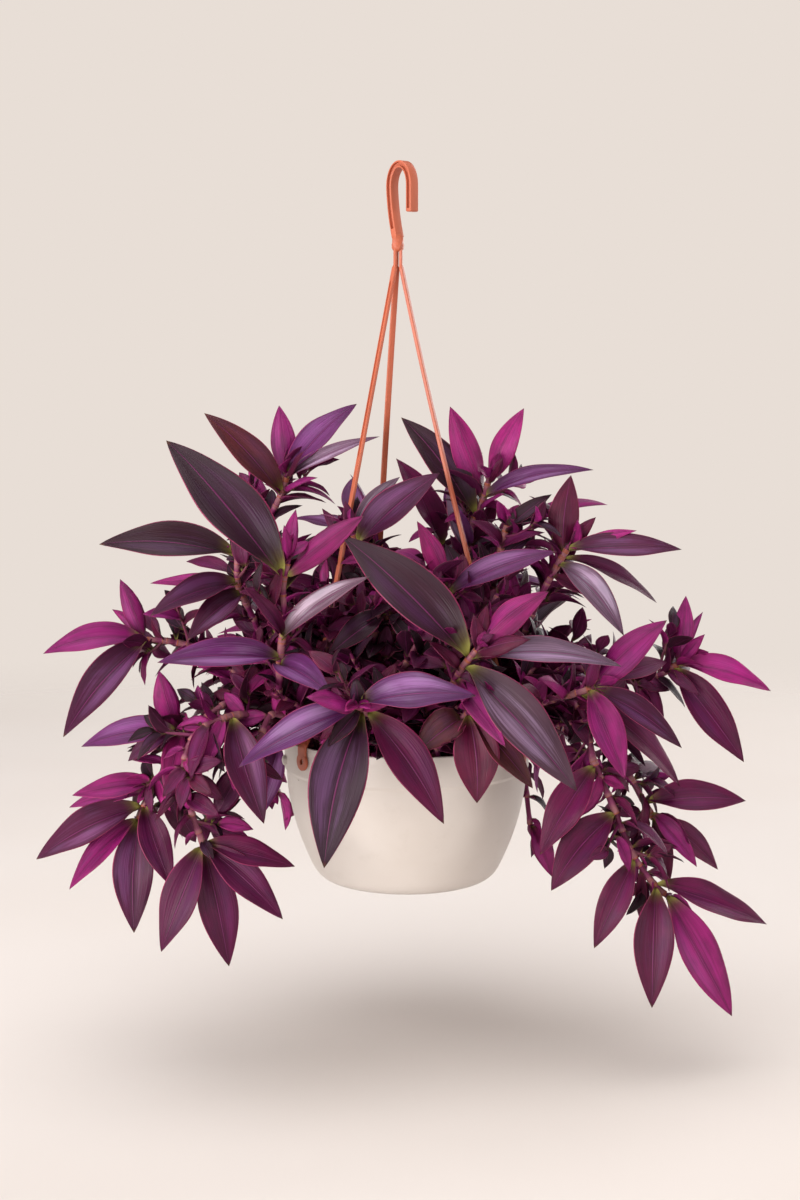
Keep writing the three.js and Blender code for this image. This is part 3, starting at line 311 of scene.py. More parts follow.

# Low growth: count of shoots, ranges of root, lean and rise, leaves a shoot, range of their length, tones
# Low growth takes mostly the darkest tone, which paints the shade low in the bush
LOW = {
    "low_growth_skirt": (34, (60, 80), (34, 76), (34, 92), 9, (26, 50),
                         ("magenta", "plum", "maroon", "deep", "dark")),
    "low_growth_edge": (40, (66, 80), (14, 34), (24, 46), 7, (26, 52), ("dark", "deep", "maroon", "plum", "deep")),
    "low_growth_middle": (34, (34, 62), (8, 30), (40, 80), 8, (28, 56), ("deep", "dark", "maroon", "deep", "plum")),
    "low_growth_heart": (26, (6, 36), (4, 24), (60, 120), 10, (26, 50), ("deep", "plum", "maroon", "dark")),
}

# Added leaves up to this length are left out before the left strap's peg and in the pot's wall, and a leaf
# behind the pot is shortened where its tip would show under the foot. Peg and foot are in marks.
SMALL_ENOUGH = 62
PEG_MARK = (302, 757)
PEG_CLEAR = (15, 24)
UNDER_POT = (400, 110, 870)
DRAWN_UP = 0.6
WALL_DROPS = (106, 94, 58, 24, 0)
WALL_RADII = (57, 70, 87, 90, 90)
WALL_GAPS = (1, 7)

# Ranges of what each leaf draws, in the order of the draws. Nothing uses the spare one, but it keeps
# the numbers drawn after it as they are.
LEAF_DRAWS = {
    # One of these draws scales the tone's painted sheen, a painted lavender highlight, for each leaf
    "shade": (0.82, 1.16), "red_tint": (0.94, 1.06), "green_tint": (0.94, 1.06), "blue_tint": (0.94, 1.06),
    "painted_sheen": (0.6, 1.3), "number": (0, 1), "phase": (0, math.tau), "twist": (-0.22, 0.22),
    "sweep": (-0.035, 0.035), "droop": (0.0, 0.03), "wave": (0.03, 0.13), "clasp": (0.9, 1.1), "spare": (0, 1),
}
STEM_MEASURES = ("kind", "girth", "sheath", "green")
LEAF_MEASURES = ("length", "width", "bow", "fold", "phase", "twist", "clasp", "wave", "droop", "sweep",
                 "painted_sheen", "number")
# The leaf finish reads the painted sheen amount, a painted highlight, among these measures
FOR_FINISH = ("sheath", "green", "painted_sheen", "number")

# Leaf tones: upper face, lower face, and how much painted lavender sheen, a painted highlight, the upper face has
TONES = {
    "dark": ("#2c131e", "#540f3a", 0.16),
    "slate": ("#664a5e", "#5e1c46", 1.25),
    "wine": ("#471233", "#5c1040", 0.42),
    "ash": ("#47303d", "#5e1c46", 0.70),
    "dusk": ("#2e1424", "#5a1240", 0.66),
    # Darkest tone, which paints the shade inside the bush; it goes mostly to inner and low leaves
    "deep": ("#240c17", "#3c0b28", 0.04),
    "violet": ("#5c2358", "#7a1c66", 0.70),
    "plum": ("#550d38", "#68134a", 0.13),
    "magenta": ("#8a1963", "#901c69", 0.22),
    "rose": ("#8c1b60", "#8c1b66", 0.22),
    "maroon": ("#560f30", "#60113e", 0.07),
    "bronze": ("#4c2025", "#5c1a35", 0.16),
}

# Other colours. Those of peat and dry leaf are stops from dark to pale.
POT_LIGHT, POT_DARK = "#cfc7c1", "#c8bfb8"
HANGER_LIGHT, HANGER_DARK = "#b35d42", "#a75238"
DUST = "#8d7a68"
PEAT = ((0.3, "#1c1210"), (0.52, "#3a261c"), (0.7, "#5a4130"))
PEAT_FIBRE = "#8a6d4f"
DRY_LEAF = ((0.3, "#4a2c25"), (0.5, "#6d5233"), (0.68, "#8d7c48"))
DRY_VEIN = "#2e1c16"
LEAF_CLOUD, LEAF_VEIN, LEAF_RIB, BESIDE_RIB = "#1f0a17", "#220a1a", "#7b2c63", "#240a1b"
LEAF_MARGIN, LEAF_FOOT, LEAF_CLASP, LEAF_WORN = "#b8406f", "#726636", "#a3a050", "#6b4a38"
STEM_PLUM, STEM_GREEN, STEM_SHEATH = "#6a1a4a", "#6d3848", "#93386c"
SHEATH_PALE, SHEATH_RIM, STEM_LINE = "#a98272", "#9b5138", "#3f1828"
FLOOR_LIGHT, FLOOR_DARK = "#ded6d1", "#dbd2cc"
BACKDROP, CEILING = "#e8ded6", "#5b5654"

# Stage: the floor's height and radius, its fade in metres, and the lamps: place, size, power, colour
FLOOR_Z = -640
FLOOR_RADIUS = 2300
FLOOR_RINGS, FLOOR_SIDES = 8, 96
FLOOR_FADE = (1.2, 2.2)
LAMPS = {
    "overhead": ((-0.3, -0.5, 2.4), 3.8, 104.0, "#ffffff"),
    "front_left": ((-1.7, -2.7, -0.2), 2.0, 66.0, "#fffdfa"),
    "low_left": ((-2.1, -1.3, -0.45), 1.1, 38.0, "#fffdfa"),
    "low_right": ((2.3, -1.5, -0.35), 0.9, 14.0, "#fffdfa"),
    "rear_right": ((2.2, 2.6, 0.7), 3.0, 76.0, "#ffffff"),
}
LAMP_AIM = (0, 0, -0.3)
WORLD_FADE = (0.30, 0.50)


# Sums on sockets: a value in a node tree, worked with as a number or a vector

class Value:
    def __init__(self, graph, socket):
        self.graph = graph
        self.socket = socket

    def other(self, name):
        return Value(self.graph, self.socket.node.outputs[name])

    def sum(self, operation, *others):
        return self.graph.node("ShaderNodeMath", {"operation": operation}, dict(enumerate((self, *others))))

    def pair(self, operation, first, second):
        vectors = [isinstance(v, tuple) or isinstance(v, Value) and v.socket.type in ("VECTOR", "RGBA")
                   for v in (first, second)]
        if not any(vectors):
            return self.graph.node("ShaderNodeMath", {"operation": operation}, {0: first, 1: second})
        if operation == "MULTIPLY" and not all(vectors):
            vector, factor = (first, second) if vectors[0] else (second, first)
            return self.graph.node("ShaderNodeVectorMath", {"operation": "SCALE"}, {0: vector, "Scale": factor})
        return self.graph.node("ShaderNodeVectorMath", {"operation": operation}, {0: first, 1: second})

    def __abs__(self):
        return self.sum("ABSOLUTE")

    def sin(self):
        return self.sum("SINE")

    def cos(self):
        return self.sum("COSINE")

    def most(self, limit):
        return self.sum("MINIMUM", limit)

    def least(self, limit):
        return self.sum("MAXIMUM", limit)

    def cross(self, other):
        return self.graph.node("ShaderNodeVectorMath", {"operation": "CROSS_PRODUCT"}, {0: self, 1: other})

    def step(self, start, end, low=0.0, high=1.0):
        """Goes smoothly from low to high while this value goes from start to end."""
        inputs = {"Value": self, "From Min": start, "From Max": end, "To Min": low, "To Max": high}
        return self.graph.node("ShaderNodeMapRange", {"interpolation_type": "SMOOTHSTEP"}, inputs)


# The signs +, -, * and **, from either side
for sign, operation in (("add", "ADD"), ("sub", "SUBTRACT"), ("mul", "MULTIPLY"), ("pow", "POWER")):
    setattr(Value, f"__{sign}__", lambda self, other, operation=operation: self.pair(operation, self, other))
    setattr(Value, f"__r{sign}__", lambda self, other, operation=operation: self.pair(operation, other, self))


class Graph:
    def __init__(self, tree):
        self.tree = tree
        self.tree.nodes.clear()

    def node(self, kind, settings=None, inputs=None, output=0):
        """Adds a node: its settings first, then the values or links of its sockets."""
        node = self.tree.nodes.new(kind)
        for name, value in (settings or {}).items():
            setattr(node, name, value)
        for name, value in (inputs or {}).items():
            if isinstance(value, Value):
                self.tree.links.new(value.socket, node.inputs[name])
            else:
                node.inputs[name].default_value = value
        return Value(self, node.outputs[output] if node.outputs else None)

    def geometry(self, kind, first=None, **values):
        """Adds a geometry node with the value of its first socket, then those of other sockets by name."""
        inputs = {name.replace("_", " "): value for name, value in values.items()}
        return self.node("GeometryNode" + kind, None, inputs if first is None else {0: first, **inputs})

    def joined(self, *parts):
        """Several geometries as one."""
        joined = self.geometry("JoinGeometry")
        for part in parts:
            self.tree.links.new(part.socket, joined.socket.node.inputs[0])
        return joined

    def real(self, copies):
        return self.geometry("RealizeInstances", copies)

    def ramp(self, amount, stops):
        """Colour by an amount, from stops of place and colour code."""
        colour = self.node("ShaderNodeValToRGB", None, {"Fac": amount})
        elements = colour.socket.node.color_ramp.elements
        for place, _ in stops[2:]:
            elements.new(place)
        for stop, (place, code) in zip(elements, stops):
            stop.position = place
            stop.color = paint(code)
        return colour

    def blend(self, amount, first, second):
        """Mixes two colours by an amount from 0 to 1."""
        return self.node("ShaderNodeMix", {"data_type": "RGBA"}, {0: amount, 6: first, 7: second}, 2)

    def over(self, colour, amount, code):
        """Lays a colour code over a colour, by an amount from 0 to 1."""
        return self.blend(amount, colour, paint(code))

    def noise(self, place, scale, detail=2.0, roughness=0.5):
        inputs = {"Vector": place, "Scale": scale, "Detail": detail, "Roughness": roughness}
        return self.node("ShaderNodeTexNoise", None, inputs)

    def vector(self, x, y, z):
        return self.node("ShaderNodeCombineXYZ", None, {0: x, 1: y, 2: z})

    def height(self, place):
        return self.node("ShaderNodeSeparateXYZ", None, {0: place}, "Z")

    def place(self):
        return self.node("ShaderNodeTexCoord", output="Object")

    def layer(self, name, output="Fac"):
        """What the mesh's layer of this name holds."""
        return self.node("ShaderNodeAttribute", {"attribute_name": name}, output=output)


def paint(code):
    """Linear colour of a six-figure colour code."""
    shades = [int(code[i:i + 2], 16) / 255 for i in (1, 3, 5)]
    return (*(s / 12.92 if s <= 0.04045 else ((s + 0.055) / 1.055) ** 2.4 for s in shades), 1.0)


def finish_graph(name):
    material = bpy.data.materials.new(name)
    material.use_nodes = True
    return material, Graph(material.node_tree)


def coated(graph, colour, roughness, specular, bump=None, **others):
    """Ends a finish in one shader. A bump is its height, its strength and its distance."""
    inputs = {"Base Color": colour, "Roughness": roughness, "Specular IOR Level": specular, **others}
    if bump:
        inputs["Normal"] = graph.node("ShaderNodeBump", None, dict(zip(("Height", "Strength", "Distance"), bump)))
    shader = graph.node("ShaderNodeBsdfPrincipled", None, inputs)
    graph.node("ShaderNodeOutputMaterial", None, {"Surface": shader})


# Finishes

def moulded_plastic(name, light, dark, roughness, grain, wear):
    """Moulded plastic with faint clouds of shade, fine grain, and dust and scuffs."""
    material, graph = finish_graph(name)
    place = graph.place()
    clouds = graph.noise(place, 14.0, 3.0)
    dust = graph.noise(place, 55.0, 4.0, 0.6).step(0.55, 0.8)
    fine = graph.noise(place, 900.0, 2.0)
    colour = graph.blend(clouds.step(0.3, 0.7), paint(dark), paint(light))
    colour = graph.over(colour, dust * wear, DUST)
    coated(graph, colour, roughness + 0.10 * clouds + 0.12 * dust, 0.45, (fine + 1.5 * clouds, grain, 0.0004))
    return material


def potting_soil():
    """Peat: dark crumbs from near black to brown, with a few pale fibres."""
    material, graph = finish_graph("soil_finish")
    place = graph.place()
    lumps = graph.noise(place, 170.0, 5.0, 0.65)
    fibre = graph.noise(place, 620.0, 2.0).step(0.66, 0.74)
    colour = graph.over(graph.ramp(lumps, PEAT), fibre * 0.6, PEAT_FIBRE)
    coated(graph, colour, 0.82 + 0.15 * lumps, 0.3, (lumps, 0.8, 0.002))
    return material


def dry_leaf():
    """Fallen leaf bits: olive and brown with darker veins and curled pale edges."""
    material, graph = finish_graph("dry_leaf_finish")
    place = graph.place()
    patches = graph.noise(place, 120.0, 4.0)
    veins = graph.noise(place, 700.0, 2.0)
    colour = graph.over(graph.ramp(patches, DRY_LEAF), veins.step(0.55, 0.7) * 0.4, DRY_VEIN)
    coated(graph, colour, 0.65 + 0.2 * veins, 0.5, (veins, 0.5, 0.001))
    return material


def leaf_blade():
    """Upper and lower face, lengthwise veins, a painted lavender sheen that stands in for the glossy highlight, pink
    margin, midrib and olive base.
    """
    material, graph = finish_graph("leaf_finish")
    run, across, number, painted_sheen = (graph.layer(name) for name in ("run", "across", "number", "painted_sheen"))
    upper = graph.layer("face").step(-0.2, 0.2)
    lower = 1 - upper
    edge = abs(across)
    streaks = graph.noise(graph.vector(run * 1.2, across * 6.0, number * 41.0), 2.0, 3.0, 0.6)
    veins = graph.noise(graph.vector(run * 0.35, across * 11.0, number * 23.0), 2.0, 1.0)
    clouds = graph.noise(graph.vector(run * 3.0, across * 1.2, number * 67.0), 1.4, 3.0)
    colour = graph.blend(upper, graph.layer("under", "Color"), graph.layer("top", "Color"))
    colour = graph.over(colour, clouds.step(0.35, 0.7) * 0.45, LEAF_CLOUD)

    # Painted sheen: a pale lavender highlight painted in streaky patches. It is strongest at mid-length and in the
    # middle of each half, and lies mostly on one half of the upper face as if lit from that side.
    lit_half = 0.5 + 0.5 * across * ((number * 7).sin() * 9).least(-1).most(1)
    sheen = (1 - ((run - 0.45) * 2.1) ** 2).least(0) * (1 - abs(edge - 0.42) * 1.7).least(0) * lit_half
    patchy = (0.34 * clouds + 0.36 * streaks + 0.42 * sheen).step(0.38, 0.66)
    pale = patchy * painted_sheen * (0.25 + 0.75 * upper) * run.step(0.05, 0.3)
    colour = graph.blend(pale, colour, colour * 1.7 + graph.vector(0.15, 0.03 + 0.09 * painted_sheen, 0.18))

    # Veins, pink and dark, then the midrib with a dark line on each side, and the margin
    colour = graph.blend(veins.step(0.58, 0.80) * (0.10 + 0.12 * lower), colour, colour * 2.2)
    colour = graph.over(colour, veins.step(0.48, 0.28) * (0.38 + 0.12 * lower), LEAF_VEIN)
    rib = edge.step(0.045, 0.012)
    colour = graph.over(colour, rib * 0.6, LEAF_RIB)
    colour = graph.over(colour, (edge.step(0.13, 0.045) - rib) * 0.3, BESIDE_RIB)
    colour = graph.over(colour, edge.step(0.94, 0.99) * 0.65, LEAF_MARGIN)

    # Olive foot, where the leaf clasps the stem, and worn tip
    foot = (run + 0.10 * streaks).step(0.23, 0.05)
    colour = graph.over(colour, foot * (0.8 - 0.1 * upper), LEAF_FOOT)
    colour = graph.over(colour, run.step(0.10, 0.01) * 0.9, LEAF_CLASP)
    colour = graph.over(colour, (run + 0.12 * clouds).step(1.02, 1.08), LEAF_WORN)
    height = 0.8 * veins + 0.8 * rib + 0.4 * streaks
    coated(graph, colour, 0.34 + 0.18 * clouds + 0.14 * lower, 0.2, (height, 0.5, 0.0009))
    return material


def leafy_stem():
    """Plum stem with green-brown stretches, pale lower sheath and an orange-brown rim at each joint."""
    material, graph = finish_graph("stem_finish")
    place = graph.place()
    sheath, green, number = (graph.layer(name) for name in ("sheath", "green", "number"))
    clouds = graph.noise(place, 60.0, 3.0)
    lines = graph.noise(place, 420.0, 2.0)
    colour = graph.blend((green + 0.5 * clouds - 0.25).step(0.2, 0.8), paint(STEM_PLUM), paint(STEM_GREEN))
    colour = graph.over(colour, sheath.step(0.05, 0.5) * 0.4, STEM_SHEATH)
    colour = graph.over(colour, (sheath + 0.2 * number).step(0.45, 0.9) * 0.4, SHEATH_PALE)
    colour = graph.over(colour, sheath.step(0.9, 0.99), SHEATH_RIM)
    colour = graph.over(colour, lines.step(0.5, 0.75) * 0.3, STEM_LINE)
    coated(graph, colour, 0.42 + 0.15 * clouds, 0.22, (lines + clouds, 0.3, 0.0006))
    return material


def pale_floor():
    """Matt pale floor that fades out into the backdrop's colour."""
    material, graph = finish_graph("floor_finish")
    place = graph.place()
    distance = graph.node("ShaderNodeVectorMath", {"operation": "LENGTH"}, {0: place}, "Value")
    clouds = graph.noise(place, 2.0, 2.0)
    colour = graph.blend(clouds.step(0.3, 0.7), paint(FLOOR_DARK), paint(FLOOR_LIGHT))
    coated(graph, colour, 0.9, 0.1, Alpha=distance.step(*FLOOR_FADE, 1.0, 0.0))
    return material


# Meshes

def piece_of(name, mesh):
    piece = bpy.data.objects.new(name, mesh)
    bpy.context.scene.collection.objects.link(piece)
    return piece


def mesh_of(name, points, faces, materials):
    """Piece from points in millimetres."""
    mesh = bpy.data.meshes.new(name)
    mesh.from_pydata((np.asarray(points, float) * MM).tolist(), [], faces)
    for material in materials:
        mesh.materials.append(material)
    return piece_of(name, mesh)


def smoothed(piece, sharp_angle):
    """Merges doubles, turns the faces out and shades them smooth, up to an angle in degrees."""
    work = bmesh.new()
    work.from_mesh(piece.data)
    bmesh.ops.remove_doubles(work, verts=work.verts, dist=1e-6)
    bmesh.ops.recalc_face_normals(work, faces=work.faces)
    if work.calc_volume(signed=True) < 0:
        bmesh.ops.reverse_faces(work, faces=work.faces)
    work.to_mesh(piece.data)
    work.free()
    piece.data.shade_smooth()
    piece.data.set_sharp_from_angle(angle=math.radians(sharp_angle))
    return piece


def ring_faces(count, sides, first=0):
    """Faces between rings of points that follow one another."""
    faces = []
    for start in range(first, first + (count - 1) * sides, sides):
        for k in range(sides):
            a, b = start + k, start + (k + 1) % sides
            faces.append((a, b, b + sides, a + sides))
    return faces


def round_ring(centre, side, half_width, half_height, count):
    """Oval ring of points round a centre, upright and along a side."""
    return np.array([centre + side * half_width * math.cos(a) + UP * half_height * math.sin(a)
                     for a in np.linspace(0, math.tau, count, endpoint=False)])


def lathe(name, profile, sides, materials, sharp_angle=40):
    """Turns a profile of radius and height, from axis to axis, round the pot's axis."""
    rings = profile[1:-1]
    angles = [math.tau * k / sides for k in range(sides)]
    points = [[POT_X + radius * math.cos(a), radius * math.sin(a), height]
              for radius, height in rings for a in angles]
    faces = ring_faces(len(rings), sides)
    first, last, top = len(points), len(points) + 1, len(points) - sides
    points += [[POT_X, 0, profile[0][1]], [POT_X, 0, profile[-1][1]]]
    for k in range(sides):
        faces.append((first, (k + 1) % sides, k))
        faces.append((last, top + k, top + (k + 1) % sides))
    return smoothed(mesh_of(name, points, faces, materials), sharp_angle)


def swept(name, rings, materials, sharp_angle=50):
    """Closed body through rings of points, flat at both ends."""
    sides, count = len(rings[0]), len(rings)
    ends = [tuple(range(sides))[::-1], tuple(range((count - 1) * sides, count * sides))]
    return smoothed(mesh_of(name, np.concatenate(rings), ends + ring_faces(count, sides), materials), sharp_angle)


def bezier(start, control, end, f):
    return (1 - f) ** 2 * start + 2 * f * (1 - f) * control + f * f * end


def curve(start, control, end, steps):
    start, control, end = (np.array(place) for place in (start, control, end))
    return [tuple(bezier(start, control, end, k / steps)) for k in range(steps + 1)]


def rounded(points, radius, steps=5):
    """Rounds the corners of an open line of points in a plane."""
    points = [np.array(point, float) for point in points]
    line = [points[0]]
    for before, corner, after in zip(points, points[1:], points[2:]):
        back, on = before - corner, after - corner
        reach = min(radius, 0.45 * np.linalg.norm(back), 0.45 * np.linalg.norm(on))
        start = corner + back / np.linalg.norm(back) * reach
        end = corner + on / np.linalg.norm(on) * reach
        line += [bezier(start, corner, end, k / steps) for k in range(steps + 1)]
    return line + [points[-1]]


def box_outline(width, thick, radius, steps=4):
    """Rounded rectangle across a strap, as places across and out."""
    outline = []
    for sx, sy, start in ((1, -1, -90), (1, 1, 0), (-1, 1, 90), (-1, -1, 180)):
        for k in range(steps + 1):
            angle = math.radians(start + 90 * k / steps)
            outline.append((sx * (width / 2 - radius) + radius * math.cos(angle),
                            sy * (thick / 2 - radius) + radius * math.sin(angle)))
    return outline


def finished(piece, *modifiers):
    """Applies modifiers, each a kind and its settings, and gives the piece a plain mesh."""
    for kind, settings in modifiers:
        modifier = piece.modifiers.new(kind.lower(), kind)
        for name, value in settings.items():
            setattr(modifier, name, value)
    graph = bpy.context.evaluated_depsgraph_get()
    mesh = bpy.data.meshes.new_from_object(piece.evaluated_get(graph), preserve_all_data_layers=True, depsgraph=graph)
    piece.modifiers.clear()
    old = piece.data
    piece.data = mesh
    bpy.data.meshes.remove(old)
    return piece


def cut(piece, *tools, how="DIFFERENCE"):
    """Cuts tools out of a piece, or joins them to it, and removes the tools."""
    finished(piece, *(("BOOLEAN", {"operation": how, "object": tool, "solver": "EXACT"}) for tool in tools))
    for tool in tools:
        bpy.data.objects.remove(tool)
    piece.data.set_sharp_from_angle(angle=math.radians(SHARP_CUT))
    return piece


def outward(azimuth):
    angle = math.radians(azimuth)
    return np.array([math.cos(angle), math.sin(angle), 0.0])


def polar(azimuth, radius, z):
    return outward(azimuth) * radius + np.array([POT_X, 0.0, z])


def eased(share):
    return share * share * (3 - 2 * share)


# Pot

def wall_line(inset, steps=26):
    """Radius and height down the wall below the band, to the foot."""
    top = RIM_RADIUS - BAND_STEP - inset
    floor = POT_FLOOR + inset
    start = (top, RIM_Z - BAND_HEIGHT - BAND_STEP)
    heel = (HEEL[0] * top, RIM_Z - HEEL[1] * POT_HEIGHT + inset / 2)
    upper = curve(start, (BELLY[0] * top, RIM_Z - BELLY[1] * POT_HEIGHT), heel, steps)
    return upper + curve(heel, (CORNER_RADIUS * top, floor), (FOOT_RADIUS, floor), steps)[1:]


def pot():
    ledge = RIM_Z - BAND_HEIGHT
    inner, hollow = RIM_RADIUS - WALL, POT_FLOOR + FOOT_HOLLOW
    band = rounded([(inner, ledge), (inner, RIM_Z), (RIM_RADIUS, RIM_Z), (RIM_RADIUS, ledge + 5)], 1.3)[:-1]
    for share in np.linspace(0, 1, 14):
        band.append((RIM_RADIUS - BAND_STEP * eased(share), ledge + 1.6 - 3.2 * share))
    inside = [(0, POT_FLOOR + WALL), *wall_line(WALL)[::-1], *band[:1]]
    outside = [*band[1:], *wall_line(0)[5:]]
    under = rounded([outside[-1], (FOOT_RADIUS - 3, POT_FLOOR), (FOOT_RADIUS - 6, hollow), (10, hollow)], 1.2)
    piece = lathe("pot_shell", [*inside, *outside, *under[1:], (0, hollow)], POT_SIDES, [FINISH["pot"]])
    return cut(piece, rim_lug(), how="UNION")


def rim_lug():
    """Small rounded lug on the band, beside the left strap's foot."""
    side = np.cross(UP, outward(LUG_AZIMUTH))
    rings = []
    for share in np.linspace(0, 1, 7):
        grow = math.sqrt(max(1 - (share * 0.98) ** 4, 0)) / 2
        centre = polar(LUG_AZIMUTH, RIM_RADIUS - 0.8 + LUG_THICK * share, RIM_Z - LUG_DROP)
        rings.append(round_ring(centre, side, LUG_WIDTH * grow, LUG_HEIGHT * grow, 24))
    return swept("rim_lug", rings, [FINISH["pot"]])


# Hook: a flat band with a channel in each face, over a flattened knob with crossing ribs

def in_hook_plane(x, z, across):
    along = np.array([math.cos(HOOK_TURN), math.sin(HOOK_TURN), 0.0])
    level = np.array([-math.sin(HOOK_TURN), math.cos(HOOK_TURN), 0.0])
    return along * x + level * across + np.array([0.0, 0.0, z])


def hook_spine():
    """Smooth line in the hook's plane, from the knob up, over the arch and down the free arm."""
    half = (HOOK_SPAN - HOOK_THICK) / 2
    rise = HOOK_RISE - HOOK_THICK / 2
    spring = HOOK_THICK / 2 - rise
    lower, upper = (-half + 2.4, spring - 24), (-half, spring - 5)
    middle = ((lower[0] + upper[0]) / 2, (lower[1] + upper[1]) / 2)
    line = curve((KNOB_SHIFT, KNOB_TOP - HOOK_INTO_KNOB), lower, middle, 12)
    line += curve(middle, upper, (-half, spring), 10)[1:]
    for k in range(1, ARCH_STEPS + 1):
        angle = math.pi * (1 - k / ARCH_STEPS)
        line.append((half * math.cos(angle), spring + rise * math.sin(angle)))
    line += [(half, spring - HOOK_ARM * k / ARM_STEPS) for k in range(1, ARM_STEPS + 1)]
    return np.array(line)


def ribbon_rings(line, outline):
    """Rings across a line in the hook's plane. The outline gives places out of the bend and across."""
    forward = np.gradient(line, axis=0)
    forward /= np.linalg.norm(forward, axis=1)[:, None]
    return [np.array([in_hook_plane(point[0] - ahead[1] * a, point[1] + ahead[0] * a, b)
                      for a, b in outline(i / (len(line) - 1))])
            for i, (point, ahead) in enumerate(zip(line, forward))]


def on_the_way(start, end, shares):
    return [start + (end - start) * f for f in shares]


def hook():
    line = hook_spine()
    trims = [0] * (len(line) - 1) + [0, 0.25, 0.7, 1.4]

    def section(share):
        trim = trims[round(share * (len(trims) - 1))]
        return box_outline(HOOK_THICK - trim, HOOK_BAND - trim, 0.5, 3)

    tip = on_the_way(line[-2], line[-1], (0.6, 0.8, 0.93, 1))
    band = swept("hook_band", ribbon_rings(np.vstack([line[:-1], tip]), section), [FINISH["hanger"]])
    short = line[3:-1]
    head = on_the_way(short[0], short[1], (0, 0.15, 0.4, 0.7))
    tail = on_the_way(short[-2], short[-1], (0.3, 0.6, 0.85, 1))
    run = np.vstack([head, short[1:-1], tail])
    tools = []
    for sign in (1, -1):
        def channel(share, sign=sign):
            from_end = min(share, 1 - share) * 60
            grow = math.sqrt(max(1 - max(1 - from_end / 1.6, 0) ** 2, 0.02))
            middle = HOOK_BAND / 2 + 1 - HOOK_GROOVE / 2 - 0.5
            outline = box_outline(HOOK_THICK - 2 * HOOK_FLANGE, HOOK_GROOVE + 1, 0.3, 2)
            return [(a * grow, sign * middle + b) for a, b in outline]

        tools.append(swept("hook_channel", ribbon_rings(run, channel), []))
    cut(band, *tools)
    return cut(band, knob(), how="UNION")


def knob():
    """Drop-shaped knob, flattened across, with two raised ribs that cross over it."""
    rings = []
    middle, reach = (KNOB_TOP + KNOB_BOTTOM) / 2, (KNOB_TOP - KNOB_BOTTOM) / 2
    for share in np.linspace(-0.985, 0.985, KNOB_RINGS):
        wide = KNOB_RADIUS * (1 - abs(share) ** 3.4) ** (1 / 2.4) * (0.9 + 0.04 * share)
        belt = KNOB_BELT * math.exp(-((share - 0.25) * reach / 0.7) ** 2)
        ring = []
        for angle in (math.tau * k / KNOB_SIDES for k in range(KNOB_SIDES)):
            crossing = angle + 0.75 * share
            off = [math.exp(-(way(crossing) * wide / 0.9) ** 2) for way in (math.sin, math.cos)]
            radius = (wide + KNOB_RIB * (off[0] + off[1]) + belt) * (1 - 0.07 * math.cos(2 * angle))
            ring.append(in_hook_plane(KNOB_SHIFT + radius * math.cos(angle) * KNOB_FLAT, middle - reach * share,
                                      radius * math.sin(angle) * KNOB_FLAT))
        rings.append(np.array(ring))
    return swept("knob", rings, [FINISH["hanger"]])


# Straps: a thin neck from the knob, a flat strap to the rim, and a foot pegged to its outside

def strap_rows(name, azimuth, bow):
    """Line down the middle of a strap, as places with the width and the thickness there."""
    out = outward(azimuth)
    top = in_hook_plane(KNOB_SHIFT, 0, 0) + out * NECK_RING
    start = top + UP * (KNOB_BOTTOM - NECK_LENGTH + 1)
    lip = polar(azimuth, RIM_RADIUS - LIP_IN, RIM_Z + LIP_HEIGHT)
    over = polar(azimuth, RIM_RADIUS + GAP + FOOT_THICK / 2, RIM_Z + FOOT_THICK / 2 + GAP)
    length = np.linalg.norm(lip - start)

    def along(share):
        return start + (lip - start) * share + out * 4 * bow * share * (1 - share)

    rows = [(top + UP * height, NECK_WIDTH, NECK_WIDTH)
            for height in (KNOB_BOTTOM + NECK_SUNK, KNOB_BOTTOM + 1, KNOB_BOTTOM - NECK_LENGTH / 2)]
    for reach in (0.2, 1.0, 1.9, 2.6, 3.2, 4.5, 6.5):
        grow = eased(min(max((reach - 0.6) / 2.4, 0), 1))
        rows.append((along(reach / length), NECK_WIDTH + (STRAND_WIDTH - NECK_WIDTH) * grow,
                     NECK_WIDTH + (STRAND_THICK - NECK_WIDTH) * grow))
    first, last = GROOVE if name == GROOVED else (2, 2)
    shares = sorted([*np.linspace(*STRAND_RUN, STRAND_STEPS), first, first + 0.004, last - 0.004, last])
    rows += [(along(share), STRAND_WIDTH, STRAND_THICK)
             for share in shares if share <= STRAND_RUN[1] and share * length > 7]

    # Over the rim, down the band and round the peg
    down = over * [1, 1, 0]
    bend = [along(0.968), lip + UP * 0.4, over + UP * 0.2, down + UP * (RIM_Z - 3.5)]
    for place, f in zip(rounded(bend, 3.2, 7), np.linspace(0, 1, 18)):
        rows.append((place, STRAND_WIDTH + (FOOT_WIDTH - STRAND_WIDTH) * min(1.6 * f, 1),
                     STRAND_THICK + (FOOT_THICK - STRAND_THICK) * f))
    end = FOOT_END / 2
    round_end = (PEG_DROP - end * math.cos(a) for a in np.linspace(math.radians(40), math.radians(178), 24))
    for drop in (4.2, 4.9, 5.4, 5.8, *round_end):
        away = PEG_DROP - drop
        half = max(math.sqrt(max(end ** 2 - away ** 2, 0.02)), FOOT_WIDTH / 2 if away > 0 else 0)
        rows.append((down + UP * (RIM_Z - drop), 2 * half, FOOT_THICK))
    rows = [row for i, row in enumerate(rows) if not i or np.linalg.norm(row[0] - rows[i - 1][0]) > 0.05]
    grooved = [first < np.linalg.norm(place - start) / length < last for place, _, _ in rows]
    return rows, grooved


